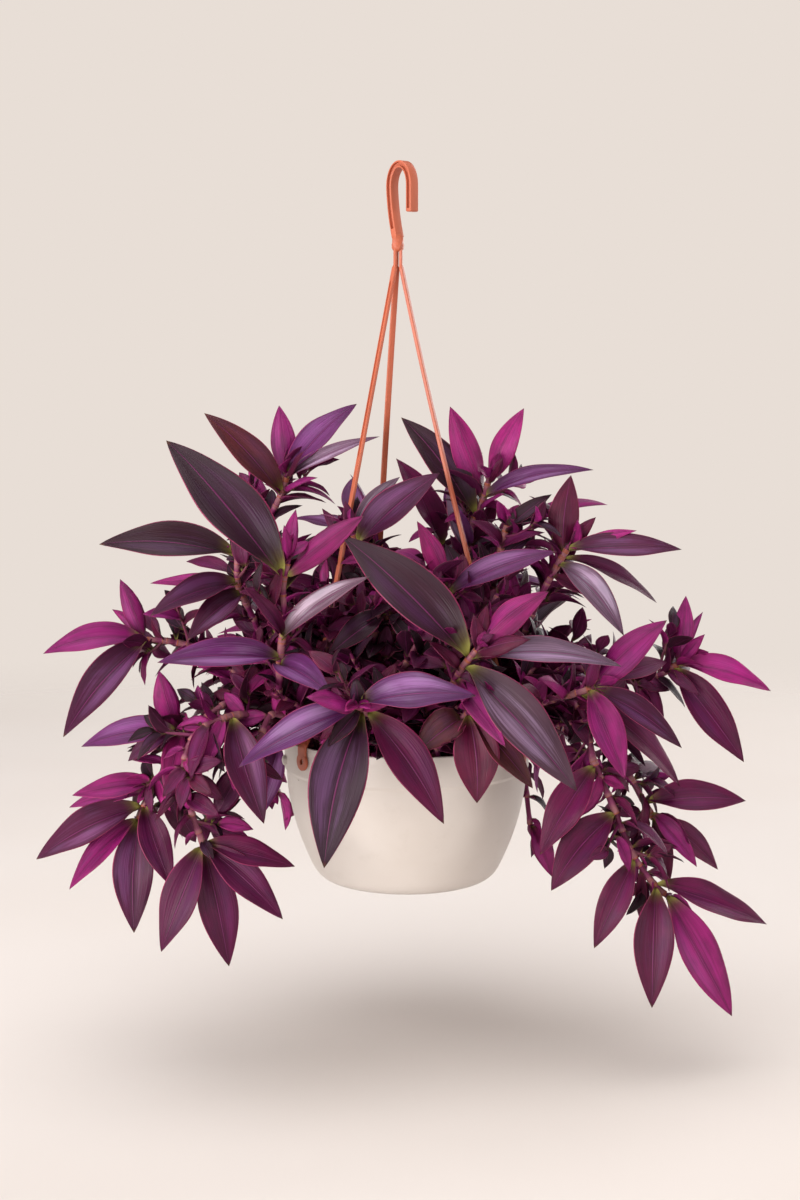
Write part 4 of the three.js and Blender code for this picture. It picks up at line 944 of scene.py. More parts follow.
def strand(name, azimuth, bow):
    out = outward(azimuth)
    across = np.cross(UP, out)
    rows, grooved = strap_rows(name, azimuth, bow)
    forward = np.gradient(np.array([place for place, _, _ in rows]), axis=0)
    rings = []
    for (centre, width, thick), ahead, sunk in zip(rows, forward, grooved):
        ahead = ahead / np.linalg.norm(ahead)
        other = np.cross(ahead, across)
        other /= np.linalg.norm(other)
        depth = GROOVE_DEPTH if sunk else 0.0
        outline = box_outline(width, thick, min(0.55, 0.45 * width))
        half, narrow = len(outline) // 2, min(width / STRAND_WIDTH, 1)
        face = [(x * narrow, thick / 2 - d) for x, d in ((1.0, 0), (0.85, depth), (-0.85, depth), (-1.0, 0))]
        flip = -1 if np.dot(other, out) < 0 else 1
        rings.append(np.array([centre + across * x + other * flip * y
                               for x, y in outline[:half] + face + outline[half:]]))
    piece = swept(name + "_strap", rings, [FINISH["hanger"]])
    return cut(piece, peg_bore(azimuth))


def peg_bore(azimuth):
    """Rod through the foot for the hole in the middle of its peg."""
    side = np.cross(UP, outward(azimuth))
    wider = BORE_RADIUS + 0.5
    rings = [round_ring(polar(azimuth, RIM_RADIUS + reach, RIM_Z - PEG_DROP), side, radius, radius, 32)
             for radius, reach in ((BORE_RADIUS, -1.6), (BORE_RADIUS, FOOT_THICK + 0.15), (wider, FOOT_THICK + 0.65))]
    return swept("peg_bore", rings, [])


# Soil: bumpy peat with crumbs, fibres and fallen leaf bits

def soil():
    draw = np.random.default_rng(SOIL_SEED)
    reach = RIM_RADIUS - WALL - GAP
    profile = [(0, POT_FLOOR + WALL + GAP), *wall_line(WALL + GAP, 8)[::-1], (reach, SOIL_Z - 2.5),
               (reach - 1.2, SOIL_Z - 0.6), *((reach * (1 - k / 34), SOIL_Z) for k in range(1, 34)), (0, SOIL_Z)]
    piece = lathe("soil_bed", profile, SOIL_SIDES, [FINISH["soil"], FINISH["dry_leaf"]], 80)
    waves = [(draw.uniform(0.05, 0.42), draw.uniform(0, math.tau), draw.uniform(0, math.tau))
             for _ in range(SOIL_WAVES)]
    for vertex in piece.data.vertices:
        x, y, z = (v / MM for v in vertex.co)
        if z < SOIL_Z - 0.3:
            continue
        bump = sum(math.sin(f * (x * math.cos(a) + y * math.sin(a)) + p) for f, a, p in waves) / 6
        edge = min(max((reach - math.hypot(x - POT_X, y)) / 10, 0), 1)
        vertex.co.z = (SOIL_Z + (bump + draw.uniform(-0.3, 0.3)) * edge - 0.8 * (1 - edge)) * MM
    return piece


# Geometry Nodes rules

def rule_graph(name, inputs):
    """New Geometry Nodes tree with its inputs, as the tree, its graph and its inputs by name."""
    tree = bpy.data.node_groups.new(name, "GeometryNodeTree")
    tree.interface.new_socket("Geometry", in_out="OUTPUT", socket_type="NodeSocketGeometry")
    for title, kind, value in (("Geometry", "Geometry", None), *inputs):
        socket = tree.interface.new_socket(title, in_out="INPUT", socket_type="NodeSocket" + kind)
        if value is not None:
            socket.default_value = value
    graph = Graph(tree)
    first = graph.node("NodeGroupInput")
    return tree, graph, {title: first.other(title) for title in ("Geometry", *(title for title, _, _ in inputs))}


def grown(name, mesh, tree, settings):
    """Runs a rule on a mesh and gives the piece that it makes, with a plain mesh."""
    piece = piece_of(name, mesh)
    modifier = piece.modifiers.new("rule", "NODES")
    modifier.node_group = tree
    for socket in tree.interface.items_tree:
        if socket.in_out == "INPUT" and socket.name in settings:
            modifier[socket.identifier] = settings[socket.name]
    return finished(piece)


def crumb_graph():
    """Crumbs of peat and curled leaf bits strewn over the top of the soil."""
    tree, graph, given = rule_graph("crumbs", (
        ("Crumbs", "Float", 1.0), ("Crumb size", "Float", 1.0), ("Leaf bits", "Float", 1.0), ("Lowest", "Float", 0.0),
        ("Soil", "Material", None), ("Dry leaf", "Material", None)))
    place = graph.geometry("InputPosition")
    level = graph.height(place) + 0.0005 * graph.height(graph.geometry("InputNormal"))
    top = graph.node("FunctionNodeCompare", {"operation": "GREATER_THAN"}, {0: level, 1: given["Lowest"]})

    def strewn(density, seed, shape, small, large, tilt, material):
        points = graph.geometry("DistributePointsOnFaces", given["Geometry"],
                                Selection=top, Density=density, Seed=seed)
        size = graph.node("FunctionNodeRandomValue", {"data_type": "FLOAT"},
                          {2: small, 3: large, "Seed": seed + 1}, 1) * given["Crumb size"]
        turn = graph.node("FunctionNodeRandomValue", {"data_type": "FLOAT_VECTOR"},
                          {0: (-tilt, -tilt, 0), 1: (tilt, tilt, math.tau), "Seed": seed + 2})
        copies = graph.geometry("InstanceOnPoints", points, Instance=shape, Rotation=turn, Scale=size)
        return graph.geometry("SetMaterial", copies, Material=material)

    wobble = (graph.noise(place, 900.0, 1.0).other("Color") - (0.5, 0.5, 0.5)) * 0.0012
    ball = graph.geometry("SetPosition", graph.geometry("MeshIcoSphere", Radius=0.001, Subdivisions=1), Offset=wobble)
    flake = graph.geometry("MeshCone", Vertices=7, Side_Segments=1,
                           Radius_Top=0.0006, Radius_Bottom=0.0016, Depth=0.0003)
    flake = graph.geometry("Transform", flake, Scale=(2.4, 0.9, 1.0))
    crumbs = strewn(given["Crumbs"], 3, ball, 0.5, 1.6, 3.0, given["Soil"])
    bits = strewn(given["Leaf bits"], 11, flake, 0.8, 2.2, 0.5, given["Dry leaf"])
    graph.node("NodeGroupOutput", None, {0: graph.real(graph.joined(given["Geometry"], crumbs, bits))})
    return tree


def leaf_graph():
    """Stems with their sheaths from lines, and folded blades from points that carry a leaf's measures."""
    tree, graph, given = rule_graph("leafy_stem", (
        ("Stem sides", "Int", 8), ("Blade rows", "Int", 22), ("Blade lines", "Int", 17), ("Small rows", "Int", 9),
        ("Small lines", "Int", 9), ("Blade thickness", "Float", 0.0005),
        ("Leaf", "Material", None), ("Stem", "Material", None)))

    def attribute(name, kind="FLOAT"):
        return graph.node("GeometryNodeInputNamedAttribute", {"data_type": kind}, {"Name": name})

    def part(kind):
        chosen = graph.node("FunctionNodeCompare", {"operation": "EQUAL"},
                            {0: attribute("kind"), 1: kind, "Epsilon": 0.1})
        return graph.geometry("SeparateGeometry", given["Geometry"], Selection=chosen)

    def template(rows, lines):
        """Flat tube of a blade: run goes along it, across from edge to edge, and face up or down."""
        body = graph.geometry("MeshGrid", Size_X=1.0, Size_Y=1.0, Vertices_X=rows, Vertices_Y=lines)
        parts = graph.node("ShaderNodeSeparateXYZ", None, {0: graph.geometry("InputPosition")})
        run = parts + 0.5
        share = parts.other("Y") + 0.5
        values = {"run": run, "across": ((1 - abs(share * 4 - 2)) * (math.pi / 2)).sin(),
                  "face": ((share * math.tau).sin() * 1000).least(-1).most(1)}
        for name, value in values.items():
            body = graph.geometry("StoreNamedAttribute", body, Name=name, Value=value)
        ring = (run * (1 - run) * 1e5).most(1)
        tube = graph.vector(run, ring * (share * math.tau).cos(), ring * (share * math.tau).sin())
        body = graph.geometry("MergeByDistance", graph.geometry("SetPosition", body, Position=tube), Distance=0.0001)
        return graph.geometry("SetPosition", body, Position=graph.vector(0.0, 0.0, 0.0))

    def copies(kind, rows, lines):
        points = graph.geometry("MeshToPoints", part(kind))
        return graph.real(graph.geometry("InstanceOnPoints", points, Instance=template(given[rows], given[lines])))

    blades = graph.joined(copies(1, "Blade rows", "Blade lines"), copies(2, "Small rows", "Small lines"))
    run, across, face, length, width, fold = (
        attribute(name) for name in ("run", "across", "face", "length", "width", "fold"))
    along, normal = attribute("along", "FLOAT_VECTOR"), attribute("normal", "FLOAT_VECTOR")
    rest = 1 - run
    side = normal.cross(along)
    turn = attribute("twist") * run
    out = side * turn.cos() + normal * turn.sin()
    up = normal * turn.cos() - side * turn.sin()

    # Half the blade's width and how far it is folded, both along the blade
    angle = rest ** 3 * (attribute("clasp") * 1.082) + 0.22
    outline = rest ** 3 * BLADE_FOOT + (run ** BLADE_SKEW * math.pi).sin().least(0) ** BLADE_FULL
    half = outline * width * 0.5 * (run * 1e5).most(1)

    # Lift above the plane of the blade: the fold, the pillowed halves, the waved edge and the thickness
    crease = (across * across + 0.0036) ** 0.5 - 0.06
    pillow = (abs(across) * math.pi).sin() * 0.07
    wave = attribute("wave") * across ** 2 * (run * 13 + attribute("phase") + across * 1.2).sin()
    lift = half * (fold * (crease * angle.sin() + pillow * (1 - 0.5 * rest)) + wave * run)
    thick = given["Blade thickness"] * (1 - run * 0.6) * (1 - across ** 4) * face

    # Bow, sweep and droop of the whole blade
    bend = attribute("bow") * run * rest * 4 * length
    sweep = attribute("sweep") * (run * math.pi).sin() * length
    droop = attribute("droop") * run ** 3 * length
    offset = (along * (run * length) + normal * bend + side * sweep + out * (half * across * angle.cos())
              + up * (lift + thick) + graph.vector(0.0, 0.0, droop * -1))
    blades = graph.geometry("SetPosition", blades, Offset=offset)
    blades = graph.geometry("SetMaterial", blades, Material=given["Leaf"])

    line = graph.geometry("MeshToCurve", part(0))
    ring = graph.geometry("CurvePrimitiveCircle", Resolution=given["Stem sides"], Radius=1.0)
    stems = graph.geometry("CurveToMesh", line, Profile_Curve=ring, Scale=attribute("girth"), Fill_Caps=True)
    stems = graph.geometry("SetMaterial", stems, Material=given["Stem"])
    smooth = graph.geometry("SetShadeSmooth", graph.joined(stems, blades))
    graph.node("NodeGroupOutput", None, {0: graph.real(smooth)})
    return tree


# Places and paths of the stems

def unit(vector):
    return vector / max(np.linalg.norm(vector), 1e-9)


def spot(u, v, y):
    """Place at depth y that is seen at the mark u, v."""
    rise = (MARK_MIDDLE[1] - v) / FOCAL
    away = y - EYE[1]
    cos, sin = math.cos(TILT), math.sin(TILT)
    up = away * (rise * cos - sin) / (cos + rise * sin)
    depth = away * cos - up * sin
    return np.array([EYE[0] + (u - MARK_MIDDLE[0]) * depth / FOCAL, y, EYE[2] + up])


def seen(place):
    """Mark and distance at which a place is seen."""
    away, up = place[1] - EYE[1], place[2] - EYE[2]
    cos, sin = math.cos(TILT), math.sin(TILT)
    depth = away * cos - up * sin
    rise = away * sin + up * cos
    return MARK_MIDDLE[0] + FOCAL * (place[0] - EYE[0]) / depth, MARK_MIDDLE[1] - FOCAL * rise / depth, depth


def stem_path(points):
    """Smooth path through the points of a stem, which leaves the soil upright."""
    last = len(points) - 1
    ways = [UP, UP] + [unit(points[min(i + 1, last)] - points[i - 1]) for i in range(2, last + 1)]

    def path(t):
        place = min(max(t, 0), 1) * last
        i = min(int(place), last - 1)
        f = place - i
        reach = np.linalg.norm(points[i + 1] - points[i])
        return (points[i] * (2 * f ** 3 - 3 * f ** 2 + 1) + ways[i] * ((f ** 3 - 2 * f ** 2 + f) * reach)
                + points[i + 1] * (3 * f ** 2 - 2 * f ** 3) + ways[i + 1] * ((f ** 3 - f ** 2) * reach))
    return path


def heading(path, t):
    return unit(path(min(t + 0.01, 1)) - path(max(t - 0.01, 0)))


def rooted(azimuth, radius):
    """The two points of a stem that stand in the soil and on it."""
    return [polar(azimuth, radius, SOIL_Z - ROOT_LENGTH), polar(azimuth, radius, SOIL_Z + STEM_STRAIGHT)]


def nearest(path, u, v):
    shares = [i / 100 for i in range(20, 98)]
    return min(shares, key=lambda t: math.hypot(seen(path(t))[0] - u, seen(path(t))[1] - v))


def marked_leaves(path, mark, order):
    """The places that a front leaf may have: only its depth and bow change."""
    base_u, base_v, tip_u, tip_v, depth, width, tone, bow = mark
    t = nearest(path, base_u, base_v) - BASE_STEP * order
    base = path(t)
    size = seen(np.array([base[0], (base[1] + depth) / 2, base[2]]))[2] / FOCAL
    under = tone in UNDERSIDES and tip_v < base_v
    return [{"t": t, "base": base, "tip": spot(tip_u, tip_v, depth + shift), "width": width * size, "tone": tone,
             "bow": bow * factor, "fold": -1 if under else 1, "face": np.array(TO_VIEWER)}
            for shift in DEPTH_TRIES for factor in BOW_TRIES]


def even_numbers(seed):
    """The same even random numbers between 0 and 1 on every run."""
    state = seed
    full = 0xFFFFFFFF
    while True:
        state = (state + 0x6D2B79F5) & full
        t = ((state ^ (state >> 15)) * (1 | state)) & full
        t = ((t + (((t ^ (t >> 7)) * (61 | t)) & full)) & full) ^ t
        yield ((t ^ (t >> 14)) & full) / 2 ** 32


def ruled_stem(rule, turn):
    azimuth, sway, root, reach = rule["azimuth"] + turn, rule["sway"], rule["root"], rule["reach"]
    return [*rooted(azimuth, root), polar(azimuth, root + 0.22 * (reach - root), RIM_Z + 0.75 * rule["crown"]),
            polar(azimuth + 0.5 * sway, root + 0.6 * (reach - root), RIM_Z + rule["crown"]),
            polar(azimuth + sway, reach, RIM_Z + rule["tip"])]


def ruled_leaves(path, rule, azimuth, i, chance):
    """The places that a leaf by rule may have."""
    share = i / (rule["leaves"] - 1)
    t = rule["from"] + (LAST_LEAF - rule["from"]) * share
    base, forward = path(t), heading(path, t)
    across = unit(np.cross(forward, UP))
    above = np.cross(across, forward)
    around = LEAF_TURN * i + 40 * chance[0]
    spread = SPREAD_OLD + (SPREAD_YOUNG - SPREAD_OLD) * share + 8 * chance[1]
    length = rule["length"] * (1 - 0.45 * share ** 2) * (0.9 + 0.2 * chance[2])
    leaves = []
    for turn, lift, shrink in LEAF_TRIES:
        psi = math.radians(around + turn)
        opened = math.radians(max(spread - lift, 6))
        way = unit(forward * math.cos(opened) + across * math.sin(opened) * math.cos(psi)
                   + above * math.sin(opened) * math.sin(psi) + np.array([0, 0, 0.2 if lift > 0 else -0.08]))
        leaves.append({"t": t, "base": base, "tip": base + way * length * shrink, "share": share, "bow": RULED_BOW,
                       "width": (RULED_WIDTH[0] * length + RULED_WIDTH[1]) * shrink, "fold": 1,
                       "face": UP - 0.35 * outward(azimuth)})
    return leaves


def blade_corners(leaf):
    """Corners of the plain solid blade of a leaf, which tell which try the solid was made from."""
    chord = leaf["tip"] - leaf["base"]
    length = np.linalg.norm(chord)
    along = chord / length
    normal = unit(leaf["face"] - along * np.dot(leaf["face"], along))
    side = np.cross(along, normal)
    control = (leaf["base"] + leaf["tip"]) / 2 + normal * 2 * leaf["bow"] * length
    corners = []
    for u in (0.16, 0.4, 0.72) if length > 86 else (0.3, 0.66) if length > 52 else (0.42,):
        centre = leaf["base"] * (1 - u) ** 2 + control * 2 * u * (1 - u) + leaf["tip"] * u ** 2
        outline = BLADE_FOOT * (1 - u) ** 3 + math.sin(math.pi * u ** BLADE_SKEW) ** BLADE_FULL
        half = outline * leaf["width"] / 2
        angle = math.radians(8 + 62 * (1 - u) ** 3)
        out, up = side * half * math.cos(angle), normal * leaf["fold"] * half * math.sin(angle)
        corners += [centre + out + up, centre - out + up]
    return np.array(corners)


def misses(corners, places):
    """How far each place is from the nearest corner."""
    return [np.min(np.linalg.norm(corners - place, axis=1)) for place in places]


def kept_leaf(tries, corners):
    """The try whose blade is in the solid, or None where the solid has no such leaf."""
    best, least = None, BLADE_MISS
    for leaf in tries:
        if misses(corners, [leaf["tip"]])[0] > TIP_MISS:
            continue
        off = np.mean(misses(corners, blade_corners(leaf)))
        if off < least:
            best, least = leaf, off
    return best


def solid_corners(node):
    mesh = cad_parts[node].data
    corners = np.empty(len(mesh.vertices) * 3)
    mesh.vertices.foreach_get("co", corners)
    return corners.reshape(-1, 3) / MM


def front_shoots():
    for name, (root, stem, marks) in SHOOTS.items():
        path, corners = stem_path([*rooted(*root), *(spot(*mark) for mark in stem)]), solid_corners(name)
        tries = [marked_leaves(path, mark, order) for order, mark in enumerate(marks)]
        yield name, path, [kept_leaf(places, corners) or places[0] for places in tries], "front"


def shoot_rules(numbers):
    for name, azimuth, root, reach, crown, tip, sway, length in BACK_STEMS:
        yield {"name": name, "azimuth": azimuth, "root": root, "reach": reach, "crown": crown, "tip": tip,
               "sway": sway, "length": length, "leaves": BACK_LEAVES, "from": BACK_FROM}
    for k in range(INNER_COUNT):
        root = 12 + 60 * math.sqrt((k + 0.5) / INNER_COUNT)
        dome = 1 - (root / 95) ** 2
        yield {"name": f"inner_{k + 1}", "azimuth": INNER_TURN * k, "root": root,
               "reach": root + 16 + 14 * next(numbers), "crown": 22 + 78 * dome, "tip": 30 + 100 * dome,
               "sway": INNER_SWAY, "length": 50 + 14 * next(numbers), "leaves": INNER_LEAVES, "from": INNER_FROM}


def ruled_shoots():
    numbers = even_numbers(RULE_SEED)
    radius = STEM_RADII[0]
    foot = np.array([[radius, 0, 0], [-radius, 0, 0], [0, radius, 0], [0, -radius, 0]])
    for rule in list(shoot_rules(numbers)):
        corners = solid_corners(rule["name"])
        turn = min(AZIMUTH_TRIES, key=lambda turn: sum(misses(corners, ruled_stem(rule, turn)[0] + foot)))
        path = stem_path(ruled_stem(rule, turn))
        leaves = []
        for i in range(rule["leaves"]):
            chance = [next(numbers) for _ in range(3)]
            leaves.append(kept_leaf(ruled_leaves(path, rule, rule["azimuth"] + turn, i, chance), corners))
        yield rule["name"], path, [leaf for leaf in leaves if leaf], rule["name"].split("_")[0]


# Planting: one piece for each leafy stem

def dressed(leaf, draw):
    """Adds the finer measures that each single leaf has: waves, twist, droop, colours."""
    top, under, painted_sheen = TONES[leaf["tone"]]
    leaf = {**leaf, **{title: draw.uniform(*ends) for title, ends in LEAF_DRAWS.items()}}
    shade = [leaf["shade"]] * 3 + [1]
    tint = [leaf["red_tint"], leaf["green_tint"], leaf["blue_tint"], 1]
    leaf["top"], leaf["under"] = (np.array(paint(code)) * shade * tint for code in (top, under))
    # The tone's painted sheen, a painted lavender highlight, scaled by the leaf's own draw
    leaf["painted_sheen"] *= painted_sheen
    chord = leaf["tip"] - leaf["base"]
    leaf["length"] = np.linalg.norm(chord)
    leaf["along"] = chord / leaf["length"]
    leaf["normal"] = unit(leaf["face"] - leaf["along"] * np.dot(leaf["face"], leaf["along"]))
    leaf["kind"] = 1 if leaf["length"] > LARGE_BLADE else 2
    return leaf


def small_leaf(path, t, around, opened, length, tone, away=None):
    """Small leaf by rule, from a place on a stem."""
    base, forward = path(t), heading(path, t)
    across = unit(np.cross(forward, [0.05, 0.02, 1]))
    above = np.cross(across, forward)
    way = unit(forward * math.cos(opened) + across * math.sin(opened) * math.cos(around)
               + above * math.sin(opened) * math.sin(around) - UP * 0.06)
    if away is not None and np.dot(way, away) > 0.7:
        way = unit(way - 2 * np.dot(way, away) * away)
    out = unit((base - [POT_X, 0, base[2]]) + [0.1, 0, 0])
    face = 0.5 * forward + UP * 0.8 + 0.7 * out + 0.8 * math.sin(3.7 * around) * np.cross(way, UP)
    return {"t": t, "base": base, "tip": base + way * length, "width": SMALL_WIDTH[0] * length + SMALL_WIDTH[1],
            "tone": tone, "bow": RULED_BOW, "fold": 1, "face": face}


def side_twig(path, t, around, draw, tones, away):
    """Short twig from a stem, with small leaves that close round its end."""
    opened, length = draw.uniform(0.8, 1.3), draw.uniform(12, 26)
    base, forward = path(t), heading(path, t)
    reach = small_leaf(path, t, around, opened, length, tones[0], away)["tip"] - base
    rise = UP * (0.22 * length) + forward * 0.25 * length

    def twig(share):
        return base + reach * share + rise * share ** 2

    leaves, count = [], draw.integers(6, 9)
    for k, share in enumerate(np.linspace(0.30, 1.0, count)):
        around += math.radians(LEAF_TURN + draw.uniform(-12, 12))
        size = draw.uniform(20, 38) * (1.0 - 0.35 * k / count)
        spread = draw.uniform(1.0, 1.35) * (1 - 0.62 * k / count)
        tone = tones[draw.integers(len(tones))]
        leaves.append(dressed(small_leaf(twig, min(share, 0.99), around, spread, size, tone, away), draw))
    return stem_line(twig, [], draw, TWIG_RADII, 7), leaves


def lengths(path, shares):
    """Length of a path up to each share."""
    steps = np.linalg.norm(np.diff(np.array([path(t) for t in shares]), axis=0), axis=1)
    return np.concatenate([[0], np.cumsum(steps)])


def between(path, start, end, step):
    """Shares along a path from start to end, one for each step in millimetres."""
    shares = np.linspace(start, end, 60)
    reach = lengths(path, shares)
    count = max(int(reach[-1] / step), 1)
    return np.interp(np.linspace(0, reach[-1], count + 1), reach, shares)


def stem_line(path, joints, draw, radii=STEM_RADII, points=40):
    """Line of a stem with its girth and sheaths. Joints are shares along it and sheath lengths."""
    shares = np.linspace(0, 1, 240)
    reach = lengths(path, shares)
    total = reach[-1]
    marks = [(float(np.interp(t, shares, reach)), size) for t, size in joints]
    stations = list(np.linspace(0, total, points))
    for mark, size in marks:
        stations += [mark - size, mark - 0.25 * size, mark, mark + 0.35]
        stations += [mark - 0.6 * size, mark - 0.4, mark + 1.2] if size > 6 else []
    stations = sorted(s for s in stations if 0 <= s <= total)
    rows = []
    for s in (s for i, s in enumerate(stations) if not i or s - stations[i - 1] > 0.08):
        sheath = max([(s - mark + size) / size for mark, size in marks if mark - size < s <= mark + 0.1], default=0.0)
        girth = (radii[0] + (radii[1] - radii[0]) * s / total) * (0.9 + 0.3 * sheath)
        rows.append((path(float(np.interp(s, reach, shares))), girth, sheath))
    rows.append((path(1.0) + heading(path, 1.0) * 0.8, radii[1] * 0.45, 0.0))
    places, girth, sheath = (np.array(column) for column in zip(*rows))
    return {"places": places, "girth": girth * MM, "sheath": sheath,
            "green": draw.uniform(0.1, 0.9), "number": draw.uniform(0, 1)}


def hides_peg(leaf):
    """True for an added leaf that would hang in front of the left strap's peg."""
    for share in (0.1, 0.4, 0.7, 1.0):
        u, v, _ = seen(leaf["base"] + (leaf["tip"] - leaf["base"]) * share)
        if abs(u - PEG_MARK[0]) < PEG_CLEAR[0] and abs(v - PEG_MARK[1]) < PEG_CLEAR[1]:
            return True
    return False


def crosses_pot(leaf):
    """True for an added leaf that would pass through the pot's wall."""
    places = leaf["base"] + (leaf["tip"] - leaf["base"]) * np.linspace(0, 1, 24)[:, None]
    low = places[:, 2] < RIM_Z
    wall = np.interp(places[:, 2], [RIM_Z - drop for drop in WALL_DROPS], WALL_RADII)
    out = np.hypot(places[:, 0] - POT_X, places[:, 1])
    sides = [out < wall - gap for gap in WALL_GAPS]
    return any(np.any((side[1:] != side[:-1]) & low[1:] & low[:-1]) for side in sides)


def shows_under_pot(leaf):
    """True for a leaf behind the pot whose tip would show below the pot's foot."""
    u, v, _ = seen(leaf["tip"])
    middle, half, lowest = UNDER_POT
    return leaf["tip"][1] > 0 and abs(u - middle) < half and v > lowest


def planted(name, stems, leaves):
    """Runs the leafy stem rule on lines and leaves, and gives one piece."""
    leaves = [leaf for leaf in leaves if leaf["length"] > SMALL_ENOUGH or not (hides_peg(leaf) or crosses_pot(leaf))]
    for leaf in leaves:
        if shows_under_pot(leaf):
            leaf["length"] *= DRAWN_UP
    edges, at = [], 0
    for stem in stems:
        edges += [(at + i, at + i + 1) for i in range(len(stem["places"]) - 1)]
        at += len(stem["places"])
    points = np.concatenate([*(stem["places"] for stem in stems), [leaf["base"] for leaf in leaves]]) * MM
    mesh = bpy.data.meshes.new(name)
    mesh.from_pydata(points.tolist(), edges, [])

    def write(title, kind, slot, values):
        mesh.attributes.new(title, kind, "POINT").data.foreach_set(slot, np.asarray(values, np.float32).ravel())

    # Points of the stems come first. They have none of a leaf's measures, and leaves none of a stem's.
    for title in (*STEM_MEASURES, *LEAF_MEASURES):
        scale = MM if title in ("length", "width") else 1
        of_stems = [np.broadcast_to(stem.get(title, 0.0), len(stem["places"])) for stem in stems]
        write(title, "FLOAT", "value", np.concatenate([*of_stems, [leaf.get(title, 0.0) * scale for leaf in leaves]]))
    for title, kind, slot, size in (("along", "FLOAT_VECTOR", "vector", 3), ("normal", "FLOAT_VECTOR", "vector", 3),
                                    ("top", "FLOAT_COLOR", "color", 4), ("under", "FLOAT_COLOR", "color", 4)):
        write(title, kind, slot, np.concatenate([np.zeros((at, size)), [leaf[title] for leaf in leaves]]))
    piece = grown(name, mesh, LEAFY_STEM, {"Leaf": FINISH["leaf"], "Stem": FINISH["stem"]})
    spent = {"along", "normal", *STEM_MEASURES, *LEAF_MEASURES}.difference(FOR_FINISH)
    for title in [layer.name for layer in piece.data.attributes if layer.name in spent]:
        piece.data.attributes.remove(piece.data.attributes[title])
    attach(piece, "root")
    return piece


def leafy_shoot(name, path, leaves, place, draw):
    """Large leaves of the solid, with small leaves, a young tip and sheaths added."""
    tones, twig_tones, leaf_step, twig_step = PLACES[place]
    away = np.array([0, -1.0, 0]) if place == "front" else None
    finer, joints, twigs = [], [], []
    for leaf in leaves:
        leaf["width"] *= BLADE_WIDER
        leaf.setdefault("tone", tones[draw.integers(len(tones))])
        if place == "back" and leaf["share"] > 0.75:
            leaf["tone"] = BACK_TIP_TONES[draw.integers(3)]
        finer.append(dressed(leaf, draw))
        joints.append((leaf["t"], LARGE_SHEATH if finer[-1]["kind"] == 1 else MIDDLE_SHEATH))
    around = draw.uniform(0, math.tau)
    for order, t in enumerate(between(path, *LEAF_RUN, leaf_step)):
        around += GOLDEN_TURN
        length = (draw.uniform(30, 50) if order % 3 == 1 else draw.uniform(14, 34)) * (1.15 - 0.35 * t)
        spread, tone = draw.uniform(0.7, 1.25), tones[draw.integers(len(tones))]
        finer.append(dressed(small_leaf(path, t, around, spread, length, tone, away), draw))
        if place != "inner" and order % 2:
            joints.append((t, SMALL_SHEATH))
    for t in between(path, *TWIG_RUN, twig_step):
        around += GOLDEN_TURN
        twig, twig_leaves = side_twig(path, t, around, draw, twig_tones, away)
        twigs.append(twig)
        finer += twig_leaves
    for k, tone in enumerate(YOUNG_TONES):
        around += GOLDEN_TURN
        leaf = small_leaf(path, 0.975 + 0.01 * k, around, 0.15 + 0.28 * (2 - k), draw.uniform(11, 26), tone)
        finer.append(dressed(leaf, draw))
    piece = planted(name + "_growth", [stem_line(path, joints, draw), *twigs], finer)
    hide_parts(name)


def low_growth(name, draw):
    """Short side shoots from the soil that fill the middle and hide the bare foot of the stems."""
    count, roots, leans, rises, leaf_count, leaf_lengths, tones = LOW[name]
    stems, leaves = [], []
    for k in range(count):
        azimuth = 360 * (k + draw.uniform(0.1, 0.9)) / count
        root, lean, rise = draw.uniform(*roots), draw.uniform(*leans), draw.uniform(*rises)
        path = stem_path([polar(azimuth, root, SOIL_Z - 6), polar(azimuth, root, SOIL_Z + 3),
                          polar(azimuth + draw.uniform(-6, 6), root + 0.3 * lean, SOIL_Z + 0.6 * rise),
                          polar(azimuth + draw.uniform(-10, 10), root + lean, SOIL_Z + rise)])
        around, joints = draw.uniform(0, math.tau), []
        for j, t in enumerate(np.linspace(*LOW_RUN, leaf_count)):
            around += math.radians(LEAF_TURN + draw.uniform(-15, 15))
            length = draw.uniform(*leaf_lengths) * (1 - 0.35 * j / leaf_count)
            tone = tones[draw.integers(len(tones))]
            leaf = small_leaf(path, t, around, draw.uniform(0.75, 1.3) * (1.1 - 0.5 * t), length, tone)
            leaves.append(dressed(leaf, draw))
            joints.append((t, LOW_SHEATH))
        stems.append(stem_line(path, joints, draw, LOW_RADII, 14))
    planted(name, stems, leaves)


# Stage: pale floor that runs out into a pale backdrop, soft light from above and from the left

def standing(name, data, place):
    """Puts a lamp or a camera at a place."""
    holder = bpy.data.objects.new(name, data)
    bpy.context.scene.collection.objects.link(holder)
    holder.location = place
    return holder


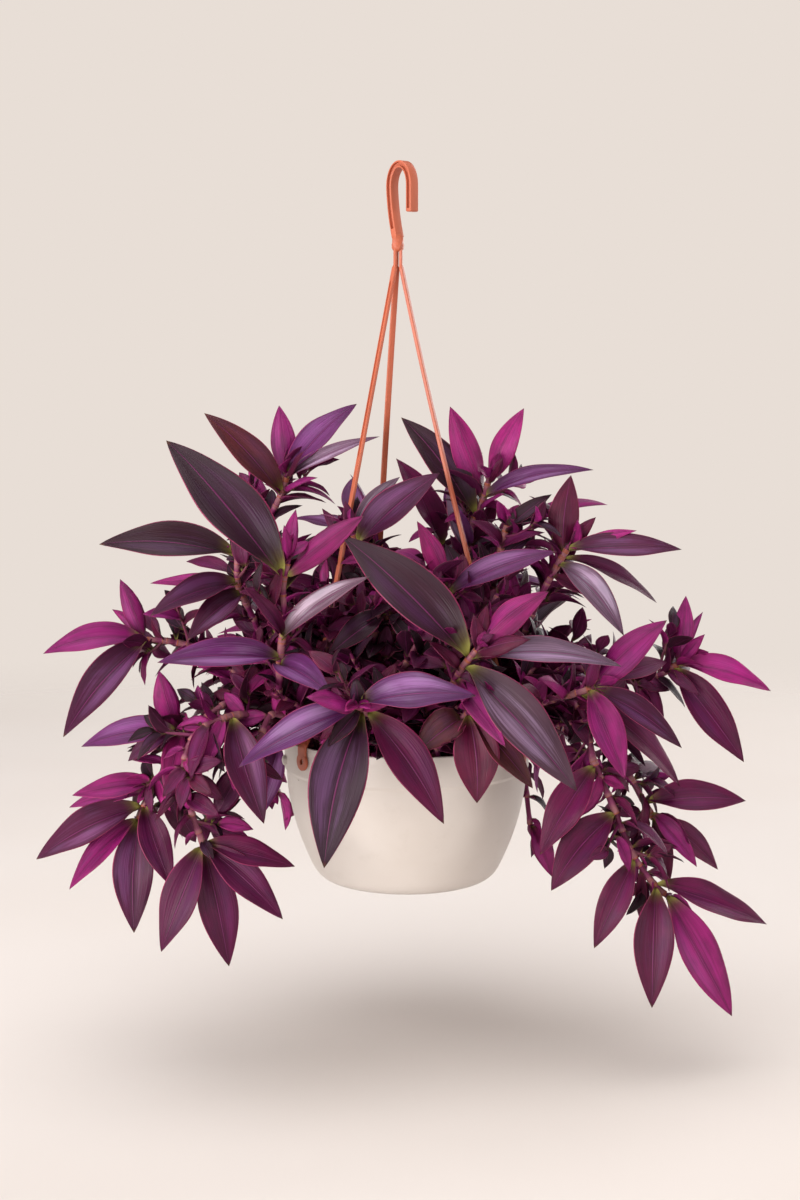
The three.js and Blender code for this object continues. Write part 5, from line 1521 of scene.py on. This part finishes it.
def stage():
    points = [(0, 0, FLOOR_Z)]
    for ring in range(1, FLOOR_RINGS + 1):
        radius = FLOOR_RADIUS * ring / FLOOR_RINGS
        for angle in (math.tau * k / FLOOR_SIDES for k in range(FLOOR_SIDES)):
            points.append((radius * math.cos(angle), radius * math.sin(angle), FLOOR_Z))
    faces = [(0, 1 + k, 1 + (k + 1) % FLOOR_SIDES) for k in range(FLOOR_SIDES)]
    faces += [face[::-1] for face in ring_faces(FLOOR_RINGS, FLOOR_SIDES, 1)]
    floor = mesh_of("floor", points, faces, [pale_floor()])
    world = bpy.data.worlds.new("backdrop")
    bpy.context.scene.world = world
    world.use_nodes = True
    graph = Graph(world.node_tree)
    height = graph.height(graph.node("ShaderNodeTexCoord", output="Generated"))
    colour = graph.blend(height.step(*WORLD_FADE), paint(BACKDROP), paint(CEILING))
    light = graph.node("ShaderNodeBackground", None, {"Color": colour, "Strength": 1.0})
    graph.node("ShaderNodeOutputWorld", None, {"Surface": light})
    for name, (place, size, energy, colour) in LAMPS.items():
        lamp = bpy.data.lights.new(name, "AREA")
        lamp.shape = "DISK"
        lamp.size = size
        lamp.energy = energy
        lamp.color = paint(colour)[:3]
        holder = standing(name, lamp, place)
        way = mathutils.Vector(LAMP_AIM) - holder.location
        holder.rotation_euler = way.to_track_quat("-Z", "Y").to_euler()


def camera():
    lens = bpy.data.cameras.new("camera")
    lens.lens = LENS
    lens.sensor_width = SENSOR
    holder = standing("camera", lens, [v * MM for v in EYE])
    holder.rotation_euler = (math.radians(90) - TILT, 0, 0)
    bpy.context.scene.camera = holder
    bpy.context.scene.view_settings.view_transform = "Standard"


# Making

camera()
stage()
FINISH = {
    "pot": moulded_plastic("pot_finish", POT_LIGHT, POT_DARK, 0.33, 0.10, 0.10),
    "hanger": moulded_plastic("hanger_finish", HANGER_LIGHT, HANGER_DARK, 0.38, 0.14, 0.06),
    "soil": potting_soil(),
    "dry_leaf": dry_leaf(),
    "leaf": leaf_blade(),
    "stem": leafy_stem(),
}

pot_piece = pot()
hook_piece = hook()
soil_bed = soil()
soil_piece = grown("soil_surface", soil_bed.data.copy(), crumb_graph(), {
    "Crumbs": CRUMBS, "Crumb size": 1.0, "Leaf bits": LEAF_BITS, "Lowest": (SOIL_Z - 2.5) * MM,
    "Soil": FINISH["soil"], "Dry leaf": FINISH["dry_leaf"]})
bpy.data.objects.remove(soil_bed)
straps = [(strand(name, azimuth, bow), name, "hanger_plastic") for name, (azimuth, bow) in STRANDS.items()]

for piece, node, slot in ((pot_piece, "pot", "pot_plastic"), (hook_piece, "hook", "hanger_plastic"),
                          (soil_piece, "soil", "soil"), *straps):
    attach(piece, "root")
    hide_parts(node)

LEAFY_STEM = leaf_graph()
draw = np.random.default_rng(PLANT_SEED)
for name, path, leaves, place in (*front_shoots(), *ruled_shoots()):
    leafy_shoot(name, path, leaves, place, draw)
for name in LOW:
    low_growth(name, draw)
